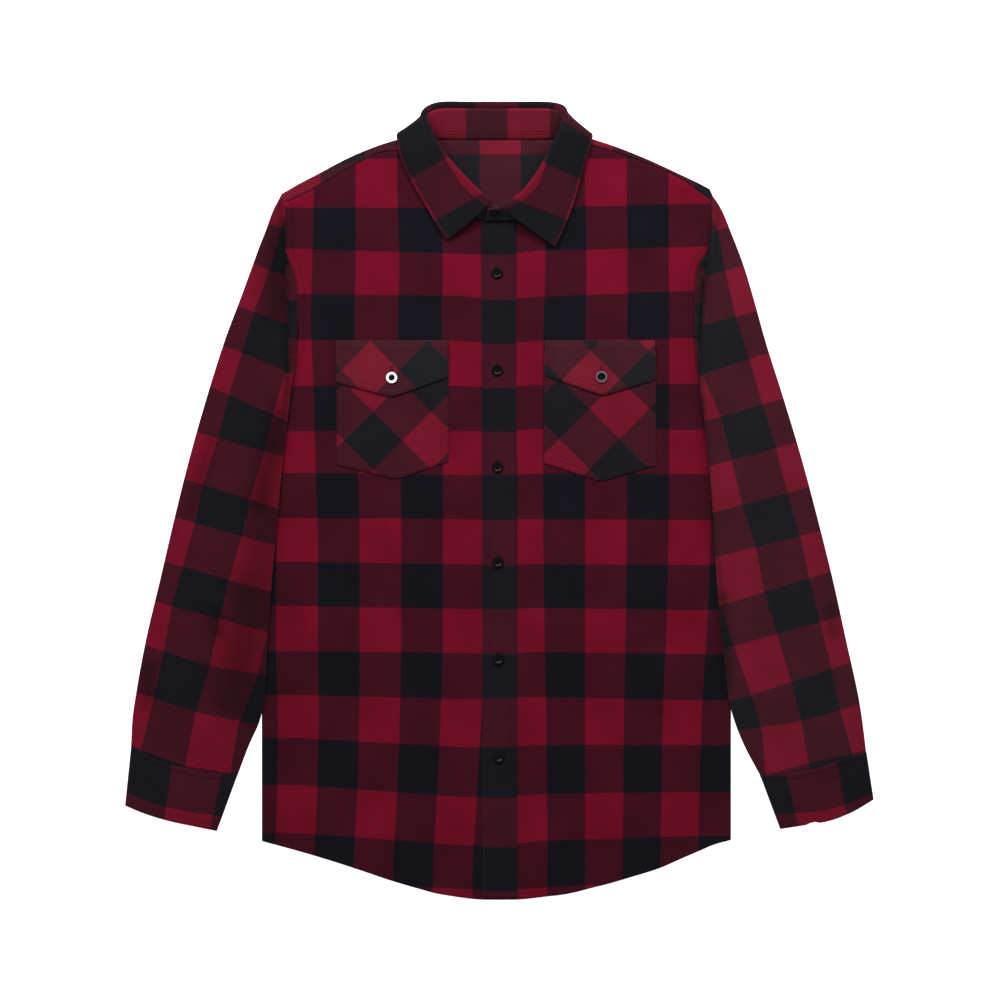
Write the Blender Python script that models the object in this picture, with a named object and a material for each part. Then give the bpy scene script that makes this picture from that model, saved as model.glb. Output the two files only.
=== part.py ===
"""A flannel shirt laid flat on a surface, front up, with its sleeves brought down beside it.

Every cloth piece is its own wall, placed as a grid of points and thickened by Solidify. Sizes are in
millimetres here and become metres in the meshes. +Y runs towards the collar, +Z is up, and the back panel
lies on Z = 0. The wearer's right side is at -X.
"""

import math
from collections import namedtuple

import bmesh
import bpy
from mathutils import Vector

MM = 0.001

# ---- Cloth ----
CLOTH = 1.2            # one layer of brushed flannel, as thick as its seams
SLEEVE_WALL = 1.0      # one layer of a sleeve, thinner so that both layers fit its height
LINING = 1.0           # the inner yoke
DOUBLE = 2.0           # folded or interlined pieces: placket, flaps, stand
LEAF = 1.8             # the collar's fall
GAP = 0.3              # between neighbouring pieces
CLEAR = 0.02           # keeps a turned piece off the surface
TURN_INSET = 0.8       # the yoke's turned end stays this far inside the armhole

# ---- Body ----
SIDE_X = {"right": -243.6, "left": 237.6}     # the side seams, which are the laid shirt's folds
BACK_SEAM_Y = 270.0                           # where the back joins the yoke
NECK_HALF = 86.0
NECK_DEEP_Y = 286.0                           # the front neckline's lowest point
NECK_BACK_Y = 369.5
NECK_POWER = 2.2
CENTRE_X = 10.0                               # where the two fronts' edges meet, under the placket
OVERLAP_Z = CLOTH + GAP                       # a front's underside at the side seam and hem
CHEST_Z = OVERLAP_Z + LINING + GAP            # and over the rest of the body
EASE_SIDE = 45.0
EASE_HEM = 30.0
TAIL_PEEK = 1.6                               # how far the back's tail reaches past the front's
TAIL_PEEK_X = 73.0
TAIL_PEEK_WIDTH = 30.0
SIDE_POWER = 6             # how sharply a panel's rows turn to meet its side edge
SIDE_STEPS = 12            # rows down the side seam
ROW_APART = 4.0            # the least distance between a panel's first two rows
BACK_COLUMNS = 5           # on each side of the centre
FRONT_COLUMNS = (26.0, 43.0, 66.0, NECK_HALF, 115.0, 148.0, 189.0, 208.0)
INNER_COLUMN = {"right": 0.0, "left": 20.0}   # each front's column beside its centre edge

# ---- Yoke ----
YOKE_MIDDLE = (-43.0, 0.0, 43.0)              # its columns across the neck
YOKE_FLAT_ROWS = (0.0, 0.3, 0.6, 0.85, 1.0)   # 0 to 1 under the shoulders, to 2 round the fold, to 3 down the front
YOKE_TURN_ROWS = (1.25, 1.5, 1.75, 2.0, 3.0)
LINING_HALF = 150.0                           # the inner yoke's half width at its foot
LINING_INSET = 2.0
NECK_SEAM_GAP = 0.2
LINING_COLUMNS = (-1.0, -0.6, -0.2, 0.2, 0.6, 1.0)
LINING_ROWS = (0.0, 0.4, 0.8, 1.0)

# The armhole seam: a row for each height, with its place on each side.
Armhole = namedtuple("Armhole", "y right left")
ARMHOLE = (
    Armhole(316.0, -224.0, 216.0),
    Armhole(304.5, -221.6, 217.2),
    Armhole(281.0, -219.3, 216.9),
    Armhole(262.0, -219.6, 215.6),
    Armhole(239.0, -212.6, 203.0),
    Armhole(216.0, -207.5, 201.0),
    Armhole(190.0, -207.8, 201.0),
    Armhole(165.0, -208.9, 201.6),
    Armhole(132.0, -213.4, 204.7),
    Armhole(103.0, -219.7, 210.6),
    Armhole(82.0, -231.0, 223.0),
    Armhole(70.0, SIDE_X["right"], SIDE_X["left"]),
)
UNDERARM_Y = 165.0                            # below it the sleeve covers the seam
UNDERARM_RISE = 8.0                           # and up to this much above it

# The shoulder: the fold at the top and the yoke's seam on the front, for each distance from the centre.
Shoulder = namedtuple("Shoulder", "x right_fold right_seam left_fold left_seam")
SHOULDER = (
    Shoulder(86.0, 375.5, 361.0, 374.5, 366.5),
    Shoulder(115.0, 368.0, 359.2, 365.4, 359.7),
    Shoulder(148.0, 355.5, 345.5, 352.6, 348.2),
    Shoulder(189.0, 334.4, 321.3, 333.8, 329.5),
    Shoulder(208.0, 324.4, 311.6, 324.6, 315.6),
    Shoulder(224.0, 315.0, 304.5, 315.5, 304.5),
)

# The shirt-tail hem, dropped at the centre.
Hem = namedtuple("Hem", "x y")
HEM = (
    Hem(-243.6, -350.5), Hem(-174.0, -372.6), Hem(-112.0, -392.5), Hem(-61.0, -405.6), Hem(-12.0, -411.2),
    Hem(12.0, -411.2), Hem(54.0, -407.2), Hem(104.0, -398.0), Hem(145.0, -386.8), Hem(186.0, -372.4),
    Hem(237.6, -350.5),
)
HEM_LOW_Y = -411.2

# ---- Sleeves ----
# A row for each height: the outer edge, and the inner edge from the underarm down.
Sleeve = namedtuple("Sleeve", "y right_outer left_outer right_inner left_inner")
SLEEVE = (
    Sleeve(316.0, -224.0, 216.0, -207.0, 200.0),
    Sleeve(298.0, -233.1, 229.4, -207.4, 200.4),
    Sleeve(278.0, -240.3, 237.6, -207.6, 200.6),
    Sleeve(257.0, -248.5, 245.9, -207.8, 200.8),
    Sleeve(237.0, -255.7, 253.1, -208.0, 201.0),
    Sleeve(206.0, -267.1, 262.3, -208.4, 201.3),
    Sleeve(165.0, -282.5, 273.7, -208.9, 201.6),
    Sleeve(103.0, -302.1, 293.2, -215.9, 207.4),
    Sleeve(41.0, -319.6, 311.8, -222.8, 212.9),
    Sleeve(-21.0, -335.1, 328.3, -228.5, 218.4),
    Sleeve(-83.0, -349.5, 343.7, -234.0, 223.8),
    Sleeve(-144.0, -363.9, 357.1, -238.3, 229.7),
    Sleeve(-206.0, -375.2, 370.5, -241.8, 236.3),
    Sleeve(-227.0, -378.0, 373.8, -246.5, 241.7),
    Sleeve(-252.0, -379.3, 376.9, -257.4, 251.6),
    Sleeve(-284.0, -381.5, 380.0, -269.6, 268.5),
)
# The cuffs, flattened: a row for each place across, from the outer to the inner edge.
Cuff = namedtuple("Cuff", "across right_top right_end left_top left_end")
CUFF = (
    Cuff(0.00, (-379.0, -252.0), (-385.5, -315.0), (378.2, -260.0), (385.5, -308.7)),
    Cuff(0.25, (-352.6, -267.3), (-363.5, -323.9), (350.0, -268.6), (363.0, -321.8)),
    Cuff(0.50, (-325.0, -275.9), (-339.9, -331.0), (322.1, -277.3), (338.0, -331.2)),
    Cuff(0.75, (-297.0, -281.6), (-315.5, -336.2), (296.0, -283.0), (313.0, -335.4)),
    Cuff(1.00, (-269.4, -283.0), (-290.8, -341.2), (268.5, -284.0), (289.1, -339.1)),
)
TURN_HEIGHT = 3.3          # a sleeve's height at its folded edges
HOLLOW_HEAD = 2.0          # the hollow between a sleeve's layers, at its head
HOLLOW = 2.5               # and along the arm
HOLLOW_WRIST = 1.9
WRIST_GAP = 0.5            # between the sleeve's end and the cuff, which both slope there
CUFF_CORNER_DROP = 0.8     # the cuff's upper corners, where its thick folds turn
TIP_GAP = 1.1              # the sleeve's sharp tip at the shoulder, beside the yoke
TIP_ACROSS = 0.07
SLEEVE_LAP = 15.0          # how far outside the body a sleeve stays lifted by it
SLEEVE_RAMP = 22.0         # and over what width it then comes down to the surface
HEAD_START = 2.0           # above the underarm the sleeve starts to come down this soon
HEAD_BLEND = 0.06          # the share of the arm over which the outline eases into the sleeve's head
HEAD_TURN = 0.03           # and over which its folded edges take their rounding
HEAD_FLAT = 0.04           # the hollow is even across the sleeve up to here
HEAD_EASE = 0.1
WRIST_EASE = 0.15
ROUNDING = 0.5             # the power that gives a sleeve or cuff its full middle
HEAD_ROWS = [row.y for row in ARMHOLE if row.y >= UNDERARM_Y]
HEAD_ACROSS = [(HEAD_ROWS[0] - y) / (HEAD_ROWS[0] - UNDERARM_Y) for y in HEAD_ROWS]
SLEEVE_ROWS = [0.0, 0.05, 0.1, 0.16, 0.22, 0.28, 0.34, 0.4, 0.46, 0.52, 0.58, 0.64, 0.7, 0.76, 0.82, 0.88, 0.94, 1.0]
SLEEVE_WIDTH = 110.0       # the frame that the creases are placed in
SLEEVE_LENGTH = 520.0
CUFF_ROWS = (0.0, 0.35, 0.7, 1.0)
CUFF_WALL = 1.8
CUFF_HEIGHT = 5.8
CUFF_TURN = 4.6

# ---- Soft folds, as low ridges that fade out at both ends ----
Ridge = namedtuple("Ridge", "x0 y0 x1 y1 width height")
BODY_RIDGES = (
    Ridge(-232, 40, -120, -20, 26, 0.8),
    Ridge(226, 36, 118, -30, 26, 0.8),
    Ridge(-205, -120, -190, -330, 24, 0.8),
    Ridge(-150, -60, -128, -345, 26, 0.7),
    Ridge(-74, 0, -84, -360, 24, 0.6),
    Ridge(86, -20, 70, -350, 24, 0.6),
    Ridge(150, -90, 138, -350, 26, 0.7),
    Ridge(204, -110, 196, -330, 24, 0.8),
    Ridge(-196, 290, -186, 190, 22, 0.7),
    Ridge(190, 296, 180, 190, 22, 0.7),
)
# Across each sleeve: how far down the arm, how far across it starts and ends, width and height.
Crease = namedtuple("Crease", "start_down start_across end_down end_across width height")
SLEEVE_CREASES = (
    Crease(0.10, 0.95, 0.30, 0.35, 20, 1.3),
    Crease(0.34, 0.90, 0.46, 0.30, 20, 1.1),
    Crease(0.52, 0.12, 0.60, 0.70, 18, 1.1),
    Crease(0.66, 0.92, 0.72, 0.40, 18, 1.0),
    Crease(0.98, 0.30, 0.80, 0.34, 14, 1.2),
    Crease(0.98, 0.68, 0.82, 0.62, 14, 1.2),
)

# ---- Placket ----
PLACKET_HALF = 16.0
PLACKET_TOP_X = -1.0
PLACKET_HEM_X = 1.2
PLACKET_TUCK = 1.0         # the placket stops this far short of the neckline

# ---- Chest pockets: the pocket's sides, top and pointed bottom, then the flap's sides and pointed bottom ----
Pocket = namedtuple(
    "Pocket", "side x0 x1 top corner0 point_x point corner1 flap_x0 flap_x1 flap0 flap_x flap_point flap1"
)
POCKETS = (
    Pocket("right", -167.4, -52.4, 152.0, 35.8, -105.4, 21.6, 39.0, -168.6, -52.9, 120.1, -110.7, 106.2, 125.2),
    Pocket("left", 46.0, 161.4, 152.0, 37.4, 104.9, 19.1, 35.5, 46.7, 160.4, 127.3, 106.5, 107.6, 122.8),
)
FLAP_TOP_Y = 162.6
PATCH_COLUMNS = 4          # on each side of the point
POCKET_ROWS = 7
FLAP_ROWS = 4
FLAP_STEP_Y = 157.0        # the flap comes down to the front between here and its top

# ---- Buttons ----
BUTTON_RADIUS = 5.8
BUTTON_HEIGHT = 2.2
BUTTON_EDGE = 0.5
BUTTON_RIM = 1.7
BUTTON_DISH = 0.6
HOLE_RADIUS = 0.75
HOLE_OFFSET = 1.25
PLACKET_BUTTON_SHIFT = 1.6          # how far the buttons sit off the placket's centre
PLACKET_BUTTON_Y = (233.5, 133.6, 33.8, -64.1, -164.0, -264.9)
COLLAR_BUTTON = (19.55, 0.62)       # where on the stand: the station, and the share of its height
FLAP_BUTTONS = {"right": (-110.8, 125.6), "left": (105.3, 126.4)}

# ---- Collar: a row for each station along the neck, from the right front end to the left front end ----
# seam: foot of the stand. top: upper edge of the stand. edge: outer edge of the fall, or None past its ends.
Station = namedtuple("Station", "seam top edge")
COLLAR = (
    Station((-1.0, 287.2, 5.3), (-1.5, 302.6, 13.6), None),
    Station((-15.0, 288.0, 5.3), (-10.9, 304.2, 16.4), (-53.2, 267.9, 7.6)),
    Station((-38.0, 294.5, 5.3), (-26.0, 317.5, 19.5), (-61.5, 279.0, 7.6)),
    Station((-59.0, 311.0, 5.3), (-40.5, 332.4, 21.5), (-76.5, 304.5, 7.2)),
    Station((-75.0, 331.0, 5.3), (-55.3, 349.1, 22.5), (-91.5, 331.0, 7.0)),
    Station((-83.0, 349.0, 5.3), (-65.6, 364.8, 23.0), (-102.0, 353.5, 7.0)),
    Station((-81.0, 364.5, 5.3), (-72.6, 380.2, 23.5), (-104.0, 366.5, 6.6)),
    Station((-71.0, 371.5, 3.2), (-75.0, 393.8, 24.0), (-101.0, 377.0, 6.4)),
    Station((-58.0, 371.2, 2.4), (-64.0, 402.6, 24.0), (-76.0, 377.6, 2.2)),
    Station((-30.0, 371.0, 2.4), (-30.0, 402.4, 24.0), (-31.0, 375.5, 1.2)),
    Station((-3.0, 371.0, 2.4), (-3.0, 402.4, 24.0), (-3.0, 375.2, 1.2)),
    Station((24.0, 371.0, 2.4), (24.0, 402.4, 24.0), (25.0, 375.5, 1.2)),
    Station((52.0, 371.2, 2.4), (54.0, 402.6, 24.0), (66.0, 377.4, 2.2)),
    Station((66.0, 371.5, 3.2), (62.5, 396.5, 24.0), (91.0, 376.6, 6.4)),
    Station((78.0, 364.5, 5.3), (65.0, 381.6, 23.5), (94.5, 368.0, 6.6)),
    Station((82.0, 348.0, 5.3), (58.7, 365.5, 23.0), (89.5, 351.0, 7.0)),
    Station((74.0, 330.0, 5.3), (50.4, 349.0, 22.5), (82.5, 326.5, 7.0)),
    Station((58.0, 310.5, 5.3), (38.3, 329.2, 21.5), (75.0, 301.5, 7.2)),
    Station((38.0, 294.5, 5.3), (22.2, 311.9, 20.0), (65.0, 276.0, 7.6)),
    Station((14.0, 288.5, 8.0), (2.5, 301.8, 18.2), (57.0, 260.4, 8.4)),
    Station((-13.6, 287.4, 8.9), (-12.0, 299.4, 16.6), None),
)
LEAF_SPAN = (1, 19)        # the fall's first and last station
LEAF_START = 0.9           # the fall begins this far above the stand
ROLL_RISE = 3.0            # and turns over this far above it
ROLL_END_RISE = 1.2        # but this far at its left front end, over the lapped stand
ROLL_RADIUS = 2.2
BACK_SPAN = (7.0, 11.0)    # the stations between which the fall is at the back of the neck
SIDE_EASE = 1.5            # and how many stations on its bend has eased to the sides'
BACK_BEND = 0.35           # how far the fall runs on before it bends over, as a share of its depth
SIDE_BEND = 0.15
STAND_ROWS = (0.0, 0.33, 0.66, 1.0)
LEAF_ROWS = (0.0, 1.0, 1.33, 1.67, 2.0, 2.25, 2.5, 2.75, 3.0)   # 0 to 1 up, to 2 over the roll, to 3 down
STEPS_PER_STATION = 2


# ---------------------------------------------------------------- reading the tables

def lerp(a, b, t):
    return a + (b - a) * t


def ease(t):
    """0 to 1, starting and ending gently."""
    t = max(0.0, min(1.0, t))
    return t * t * (3.0 - 2.0 * t)


def read(table, key, column, at):
    """The table's column at a value of its key, along straight lines between the rows."""
    rows = sorted(table, key=lambda row: getattr(row, key))
    at = max(getattr(rows[0], key), min(getattr(rows[-1], key), at))
    for low, high in zip(rows, rows[1:]):
        start = getattr(low, key)
        end = getattr(high, key)
        if at <= end:
            break
    return lerp(getattr(low, column), getattr(high, column), (at - start) / (end - start))


def side_of(x):
    return "right" if x < 0 else "left"


def outward(side):
    """-1 on the wearer's right, +1 on the left."""
    return -1 if side == "right" else 1


def side_x(side, y):
    """The body's edge: the armhole seam above the armpit and the side seam below it."""
    return read(ARMHOLE, "y", side, y)


def hem_y(x):
    return read(HEM, "x", "y", x)


def seam_y(x):
    """The yoke's front seam."""
    return read(SHOULDER, "x", side_of(x) + "_seam", abs(x))


def fold_y(x):
    """The top of the shoulder."""
    return read(SHOULDER, "x", side_of(x) + "_fold", abs(x))


def front_top_y(x):
    """The fronts' upper edge: the neckline, then the yoke's seam."""
    if abs(x) >= NECK_HALF:
        return seam_y(x) - GAP
    neck_point = seam_y(math.copysign(NECK_HALF, x)) - GAP
    return lerp(NECK_DEEP_Y, neck_point, (abs(x) / NECK_HALF) ** NECK_POWER)


def ridge_height(x, y, x0, y0, x1, y1, width, height):
    along_x = x1 - x0
    along_y = y1 - y0
    length = math.hypot(along_x, along_y)
    t = ((x - x0) * along_x + (y - y0) * along_y) / length ** 2
    if not 0.0 < t < 1.0:
        return 0.0
    away = ((x - x0) * along_y - (y - y0) * along_x) / length
    return height * math.sin(math.pi * t) * math.exp(-((away / width) ** 2))


def front_z(x, y):
    """The underside of the fronts. Low at the side seams and the hem, and lifted by the soft folds."""
    inside = abs(side_x(side_of(x), y) - x)
    at_armhole = ease((y - 60.0) / 60.0)
    lift = lerp(ease(inside / EASE_SIDE), 1.0, at_armhole) * ease((y - hem_y(x)) / EASE_HEM)
    ridges = sum(ridge_height(x, y, *ridge) for ridge in BODY_RIDGES)
    return lerp(OVERLAP_Z, CHEST_Z, lift) + ridges * lift


def front_top_z(x, y):
    return front_z(x, y) + CLOTH


# ---------------------------------------------------------------- making a piece

def spaced(count):
    return [i / count for i in range(count + 1)]


def material(name, colour, roughness):
    made = bpy.data.materials.new(name)
    made.use_nodes = True
    shader = made.node_tree.nodes["Principled BSDF"]
    shader.inputs["Base Color"].default_value = (*colour, 1.0)
    shader.inputs["Roughness"].default_value = roughness
    shader.inputs["Metallic"].default_value = 0.0
    return made


def finish(name, bm, look, smooth=True):
    mesh = bpy.data.meshes.new(name)
    bm.to_mesh(mesh)
    bm.free()
    if smooth:
        mesh.shade_smooth()
    piece = bpy.data.objects.new(name, mesh)
    piece.data.materials.append(look)
    bpy.context.scene.collection.objects.link(piece)
    return piece


def solidify(piece, thickness, offset):
    """offset 1 builds the wall on the side that the faces look to, -1 on the other, 0 on both."""
    wall = piece.modifiers.new("Wall", "SOLIDIFY")
    wall.thickness = thickness * MM
    wall.offset = offset
    wall.use_even_offset = True
    return piece


def placed_grid(columns, rows, place):
    """A grid whose points are place(column, row) in millimetres."""
    bm = bmesh.new()
    bmesh.ops.create_grid(bm, x_segments=len(columns) - 1, y_segments=len(rows) - 1, size=0.5)
    for vert in bm.verts:
        column = round((vert.co.x + 0.5) * (len(columns) - 1))
        row = round((vert.co.y + 0.5) * (len(rows) - 1))
        vert.co = Vector(place(columns[column], rows[row])) * MM
    return bm


def sheet(name, columns, rows, place, thickness, look):
    """A laid piece: place gives its underside, and the cloth's thickness is added upwards."""
    bm = placed_grid(columns, rows, place)
    if sum(face.normal.z * face.calc_area() for face in faces_with_normals(bm)) < 0:
        bmesh.ops.reverse_faces(bm, faces=bm.faces)
    return solidify(finish(name, bm, look), thickness, 1)


def faces_with_normals(bm):
    bm.normal_update()
    return bm.faces


def tube(name, around, rows, place, thickness, look):
    """A flattened tube: place(around, row) gives its outer skin, and the wall is inside it."""
    bm = placed_grid(spaced(around), rows, place)
    bmesh.ops.remove_doubles(bm, verts=bm.verts, dist=1e-6)
    bmesh.ops.recalc_face_normals(bm, faces=bm.faces)
    lowest = min(faces_with_normals(bm), key=lambda face: face.calc_center_median().z)
    if lowest.normal.z > 0:
        bmesh.ops.reverse_faces(bm, faces=bm.faces)
    return solidify(finish(name, bm, look), thickness, -1)


# ---------------------------------------------------------------- body

def side_rows(top):
    """Heights down the body's edge from top: the armhole's rows, then even steps to the hem."""
    low = ARMHOLE[-1].y
    hem = HEM[0].y
    below = [lerp(low, hem, t) for t in spaced(SIDE_STEPS)[1:]]
    return [top] + [row.y for row in ARMHOLE if row.y < top - ROW_APART] + below


def tail_y(x):
    """The back's hem, which shows below the front's in one place."""
    return hem_y(x) - TAIL_PEEK * math.exp(-(((x - TAIL_PEEK_X) / TAIL_PEEK_WIDTH) ** 2))


def panel_point(across, y_side, top_side, top_y, centre_x, side, hem):
    """A point of a body panel: across runs from centre_x to the side, y_side down the side's edge.

    top_side and top_y are the heights where the panel's edge and this column begin.
    """
    down = (top_side - y_side) / (top_side - HEM[0].y)
    edge = side_x(side, y_side) - outward(side) * GAP / 2
    x_hem = lerp(centre_x, SIDE_X[side], across)
    y = lerp(top_y, hem(x_hem), down)
    return lerp(centre_x, edge, across), lerp(y, y_side, across ** SIDE_POWER)


def front(side, look):
    sign = outward(side)
    centre = CENTRE_X if side == "right" else CENTRE_X + GAP
    top_side = seam_y(side_x(side, ARMHOLE[0].y)) - GAP
    tip = side_x(side, top_side) - sign * GAP / 2
    starts = [centre, INNER_COLUMN[side]] + [sign * x for x in FRONT_COLUMNS] + [tip]

    def place(x_top, y_side):
        across = (x_top - centre) / (tip - centre)
        x, y = panel_point(across, y_side, top_side, front_top_y(x_top), centre, side, hem_y)
        return x, y, front_z(x, y)

    return sheet("front_" + side, starts, side_rows(top_side), place, CLOTH, look)


def back(look):
    top = BACK_SEAM_Y - GAP / 2

    def place(across, y_side):
        side = side_of(across)
        x, y = panel_point(abs(across), y_side, top, top, 0.0, side, tail_y)
        return x, y, 0.0

    columns = [i / BACK_COLUMNS for i in range(-BACK_COLUMNS, BACK_COLUMNS + 1)]
    return sheet("back", columns, side_rows(top), place, CLOTH, look)


def yoke(look):
    """Flat under the shoulders, turned over their top, and down to the seam on each front."""
    outer = [row.x for row in SHOULDER]
    tips = {"right": side_x("right", ARMHOLE[0].y), "left": side_x("left", ARMHOLE[0].y)}
    right = sorted({-x for x in outer[:-1]} | {tips["right"]})
    left = sorted({x for x in outer[:-1]} | {tips["left"]})
    columns = right + list(YOKE_MIDDLE) + left
    rows = YOKE_FLAT_ROWS + YOKE_TURN_ROWS
    middle_z = CLOTH / 2 + CLEAR
    top_z = CHEST_Z + CLOTH / 2
    radius = (top_z - middle_z) / 2

    def place(x_top, row):
        side = side_of(x_top)
        at_neck = abs(x_top) < NECK_HALF
        crest = NECK_BACK_Y if at_neck else fold_y(x_top) - radius - CLOTH / 2
        inset = GAP if row < 1.0 else TURN_INSET
        if row <= 1.0:
            y = lerp(BACK_SEAM_Y + GAP / 2, crest, row)
            z = middle_z
        elif row <= 2.0:
            angle = math.pi * (row - 1.0)
            y = crest + radius * math.sin(angle)
            z = middle_z + radius * (1.0 - math.cos(angle))
        else:
            y = seam_y(x_top) + GAP / 2
            z = top_z
        edge = side_x(side, y) - outward(side) * inset
        return x_top * edge / tips[side], y, z

    bm = placed_grid(columns, rows, place)
    reach = (NECK_HALF - 1.0) * MM

    def past_the_neck(face):
        corners = [vert.co for vert in face.verts]
        raised = any(corner.z > (middle_z + 0.01) * MM for corner in corners)
        return raised and any(abs(corner.x) < reach for corner in corners)

    bmesh.ops.delete(bm, geom=[face for face in bm.faces if past_the_neck(face)], context="FACES")
    return solidify(finish("yoke", bm, look), CLOTH, 0)


def yoke_lining(look):
    """The inner yoke, which shows inside the neck. Its upper edge is the neck seam."""
    def place(across, row):
        half = lerp(LINING_HALF, NECK_HALF - LINING_INSET, ease(row))
        y = lerp(BACK_SEAM_Y + LINING_INSET, NECK_BACK_Y - NECK_SEAM_GAP, row)
        return across * half, y, OVERLAP_Z

    return sheet("yoke_lining", LINING_COLUMNS, LINING_ROWS, place, LINING, look)


def placket(look):
    rows = side_rows(seam_y(ARMHOLE[0].left))
    top = NECK_DEEP_Y - PLACKET_TUCK

    def place(across, y_side):
        down = (rows[0] - y_side) / (rows[0] - rows[-1])
        centre = lerp(PLACKET_TOP_X, PLACKET_HEM_X, down)
        x = centre + across * PLACKET_HALF
        y = lerp(top, hem_y(x), down)
        return x, y, front_top_z(x, y) + GAP

    return sheet("placket", [-1.0, 0.0, 1.0], rows, place, DOUBLE, look)


# ---------------------------------------------------------------- sleeves and cuffs

def sleeve_edge(side, edge, y):
    return read(SLEEVE, "y", side + "_" + edge, y)


def cuff_line(side, line, across):
    """A point on the cuff's top or end line."""
    column = side + "_" + line
    rows = CUFF
    for low, high in zip(rows, rows[1:]):
        if across <= high.across:
            break
    t = (across - low.across) / (high.across - low.across)
    start = getattr(low, column)
    end = getattr(high, column)
    return lerp(start[0], end[0], t), lerp(start[1], end[1], t)


def head_line(side, across):
    """A point on the sleeve's head, from the shoulder's tip down to the underarm."""
    y = lerp(ARMHOLE[0].y, UNDERARM_Y, across)
    gap = GAP / 2 + TIP_GAP * max(0.0, 1.0 - across / TIP_ACROSS)
    return side_x(side, y) + outward(side) * gap, y


def sleeve_plan(side, across, down):
    """The sleeve's outline filled in: its head and cuff lines, and its outer and inner edges, blended."""
    head = head_line(side, across)
    wrist = cuff_line(side, "top", across)
    wrist = (wrist[0], wrist[1] + WRIST_GAP)
    ends = [head_line(side, 0.0), head_line(side, 1.0), cuff_line(side, "top", 0.0), cuff_line(side, "top", 1.0)]
    outer_y = lerp(ends[0][1], ends[2][1] + WRIST_GAP, down)
    inner_y = lerp(ends[1][1], ends[3][1] + WRIST_GAP, down)
    blend_in = 1.0 - ease(down / HEAD_BLEND)
    outer = (sleeve_edge(side, "outer", outer_y) + outward(side) * (GAP / 2 + TIP_GAP) * blend_in, outer_y)
    inner = (sleeve_edge(side, "inner", inner_y) + outward(side) * GAP / 2 * blend_in, inner_y)
    point = []
    for axis in (0, 1):
        corners = (
            (1 - down) * ((1 - across) * ends[0][axis] + across * ends[1][axis])
            + down * ((1 - across) * ends[2][axis] + across * ends[3][axis])
        )
        if axis == 1:
            corners += down * WRIST_GAP
        along = lerp(outer[axis], inner[axis], across)
        over = lerp(head[axis], wrist[axis], down)
        point.append(along + over - corners)
    return point


def sleeve_floor(side, x, y):
    """The sleeve's underside: on the surface beside the body, and lifted where it lies over the body."""
    seam = min(y, UNDERARM_Y + UNDERARM_RISE)
    beside = (x - side_x(side, seam)) * outward(side)
    above = max(0.0, y - seam)
    away = math.hypot(max(0.0, beside), above)
    start = HEAD_START if above > 0 else SLEEVE_LAP
    raised = 1.0 - ease((away - start) / SLEEVE_RAMP)
    under = side_x(side, seam) - outward(side) * max(0.5, -beside)
    return raised * (front_top_z(under, seam) + 2 * GAP)


def sleeve_hollow(across, down):
    head = lerp(HOLLOW_HEAD, HOLLOW, ease(down / HEAD_EASE))
    arm = lerp(head, HOLLOW_WRIST, ease((down - 1.0 + WRIST_EASE) / WRIST_EASE))
    edge = TURN_HEIGHT - 2 * SLEEVE_WALL
    fullness = math.sin(math.pi * across) ** ROUNDING
    return lerp(edge, arm, fullness if down > HEAD_FLAT else 1.0)


def crease_height(across, down, width, length):
    """How much the creases lift the upper layer, in a frame of the sleeve's own width and length."""
    total = 0.0
    for crease in SLEEVE_CREASES:
        total += ridge_height(
            across * width, down * length,
            crease.start_across * width, crease.start_down * length,
            crease.end_across * width, crease.end_down * length,
            crease.width, crease.height,
        )
    return total


def sleeve(side, look):
    """Around the tube: across the underside, the inner fold, back across the top, the outer fold."""
    stops = HEAD_ACROSS
    count = len(stops)
    around = 2 * count + 2
    ring = [("under", across) for across in stops] + [("fold", 1.0)]
    ring += [("over", across) for across in reversed(stops)] + [("fold", 0.0)]

    def place(turn, down):
        layer, across = ring[round(turn * around) % around]
        x, y = sleeve_plan(side, across, down)
        inner_x, inner_y = sleeve_plan(side, 1.0, down)
        outer_x, outer_y = sleeve_plan(side, 0.0, down)
        width = math.hypot(inner_x - outer_x, inner_y - outer_y)
        toward = ((inner_x - outer_x) / width, (inner_y - outer_y) / width)
        inset = TURN_HEIGHT / 2 * ease(down / HEAD_TURN)
        if layer != "fold" and across in (0.0, 1.0):
            step = inset if across == 0.0 else -inset
            x += toward[0] * step
            y += toward[1] * step
        floor = sleeve_floor(side, x, y)
        hollow = sleeve_hollow(across, down)
        if layer == "under":
            return x, y, floor
        if layer == "fold":
            return x, y, floor + TURN_HEIGHT / 2
        lift = crease_height(across, down, SLEEVE_WIDTH, SLEEVE_LENGTH)
        return x, y, floor + 2 * SLEEVE_WALL + hollow + lift

    return tube("sleeve_" + side, around, SLEEVE_ROWS, place, SLEEVE_WALL, look)


def cuff(side, look):
    stops = HEAD_ACROSS
    around = 2 * len(stops) + 2
    ring = [("under", across) for across in stops] + [("fold", 1.0)]
    ring += [("over", across) for across in reversed(stops)] + [("fold", 0.0)]

    def place(turn, down):
        layer, across = ring[round(turn * around) % around]
        top = cuff_line(side, "top", across)
        end = cuff_line(side, "end", across)
        x = lerp(top[0], end[0], down)
        y = lerp(top[1], end[1], down)
        if across in (0.0, 1.0):
            y -= CUFF_CORNER_DROP * (1.0 - down)
        if layer != "fold" and across in (0.0, 1.0):
            other = cuff_line(side, "top", 1.0 - across)
            width = math.hypot(other[0] - top[0], other[1] - top[1])
            x += (other[0] - top[0]) / width * CUFF_TURN / 2
            y += (other[1] - top[1]) / width * CUFF_TURN / 2
        if layer == "under":
            return x, y, 0.0
        if layer == "fold":
            return x, y, CUFF_TURN / 2
        return x, y, lerp(CUFF_TURN, CUFF_HEIGHT, math.sin(math.pi * across) ** ROUNDING)

    return tube("cuff_" + side, around, CUFF_ROWS, place, CUFF_WALL, look)


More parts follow.
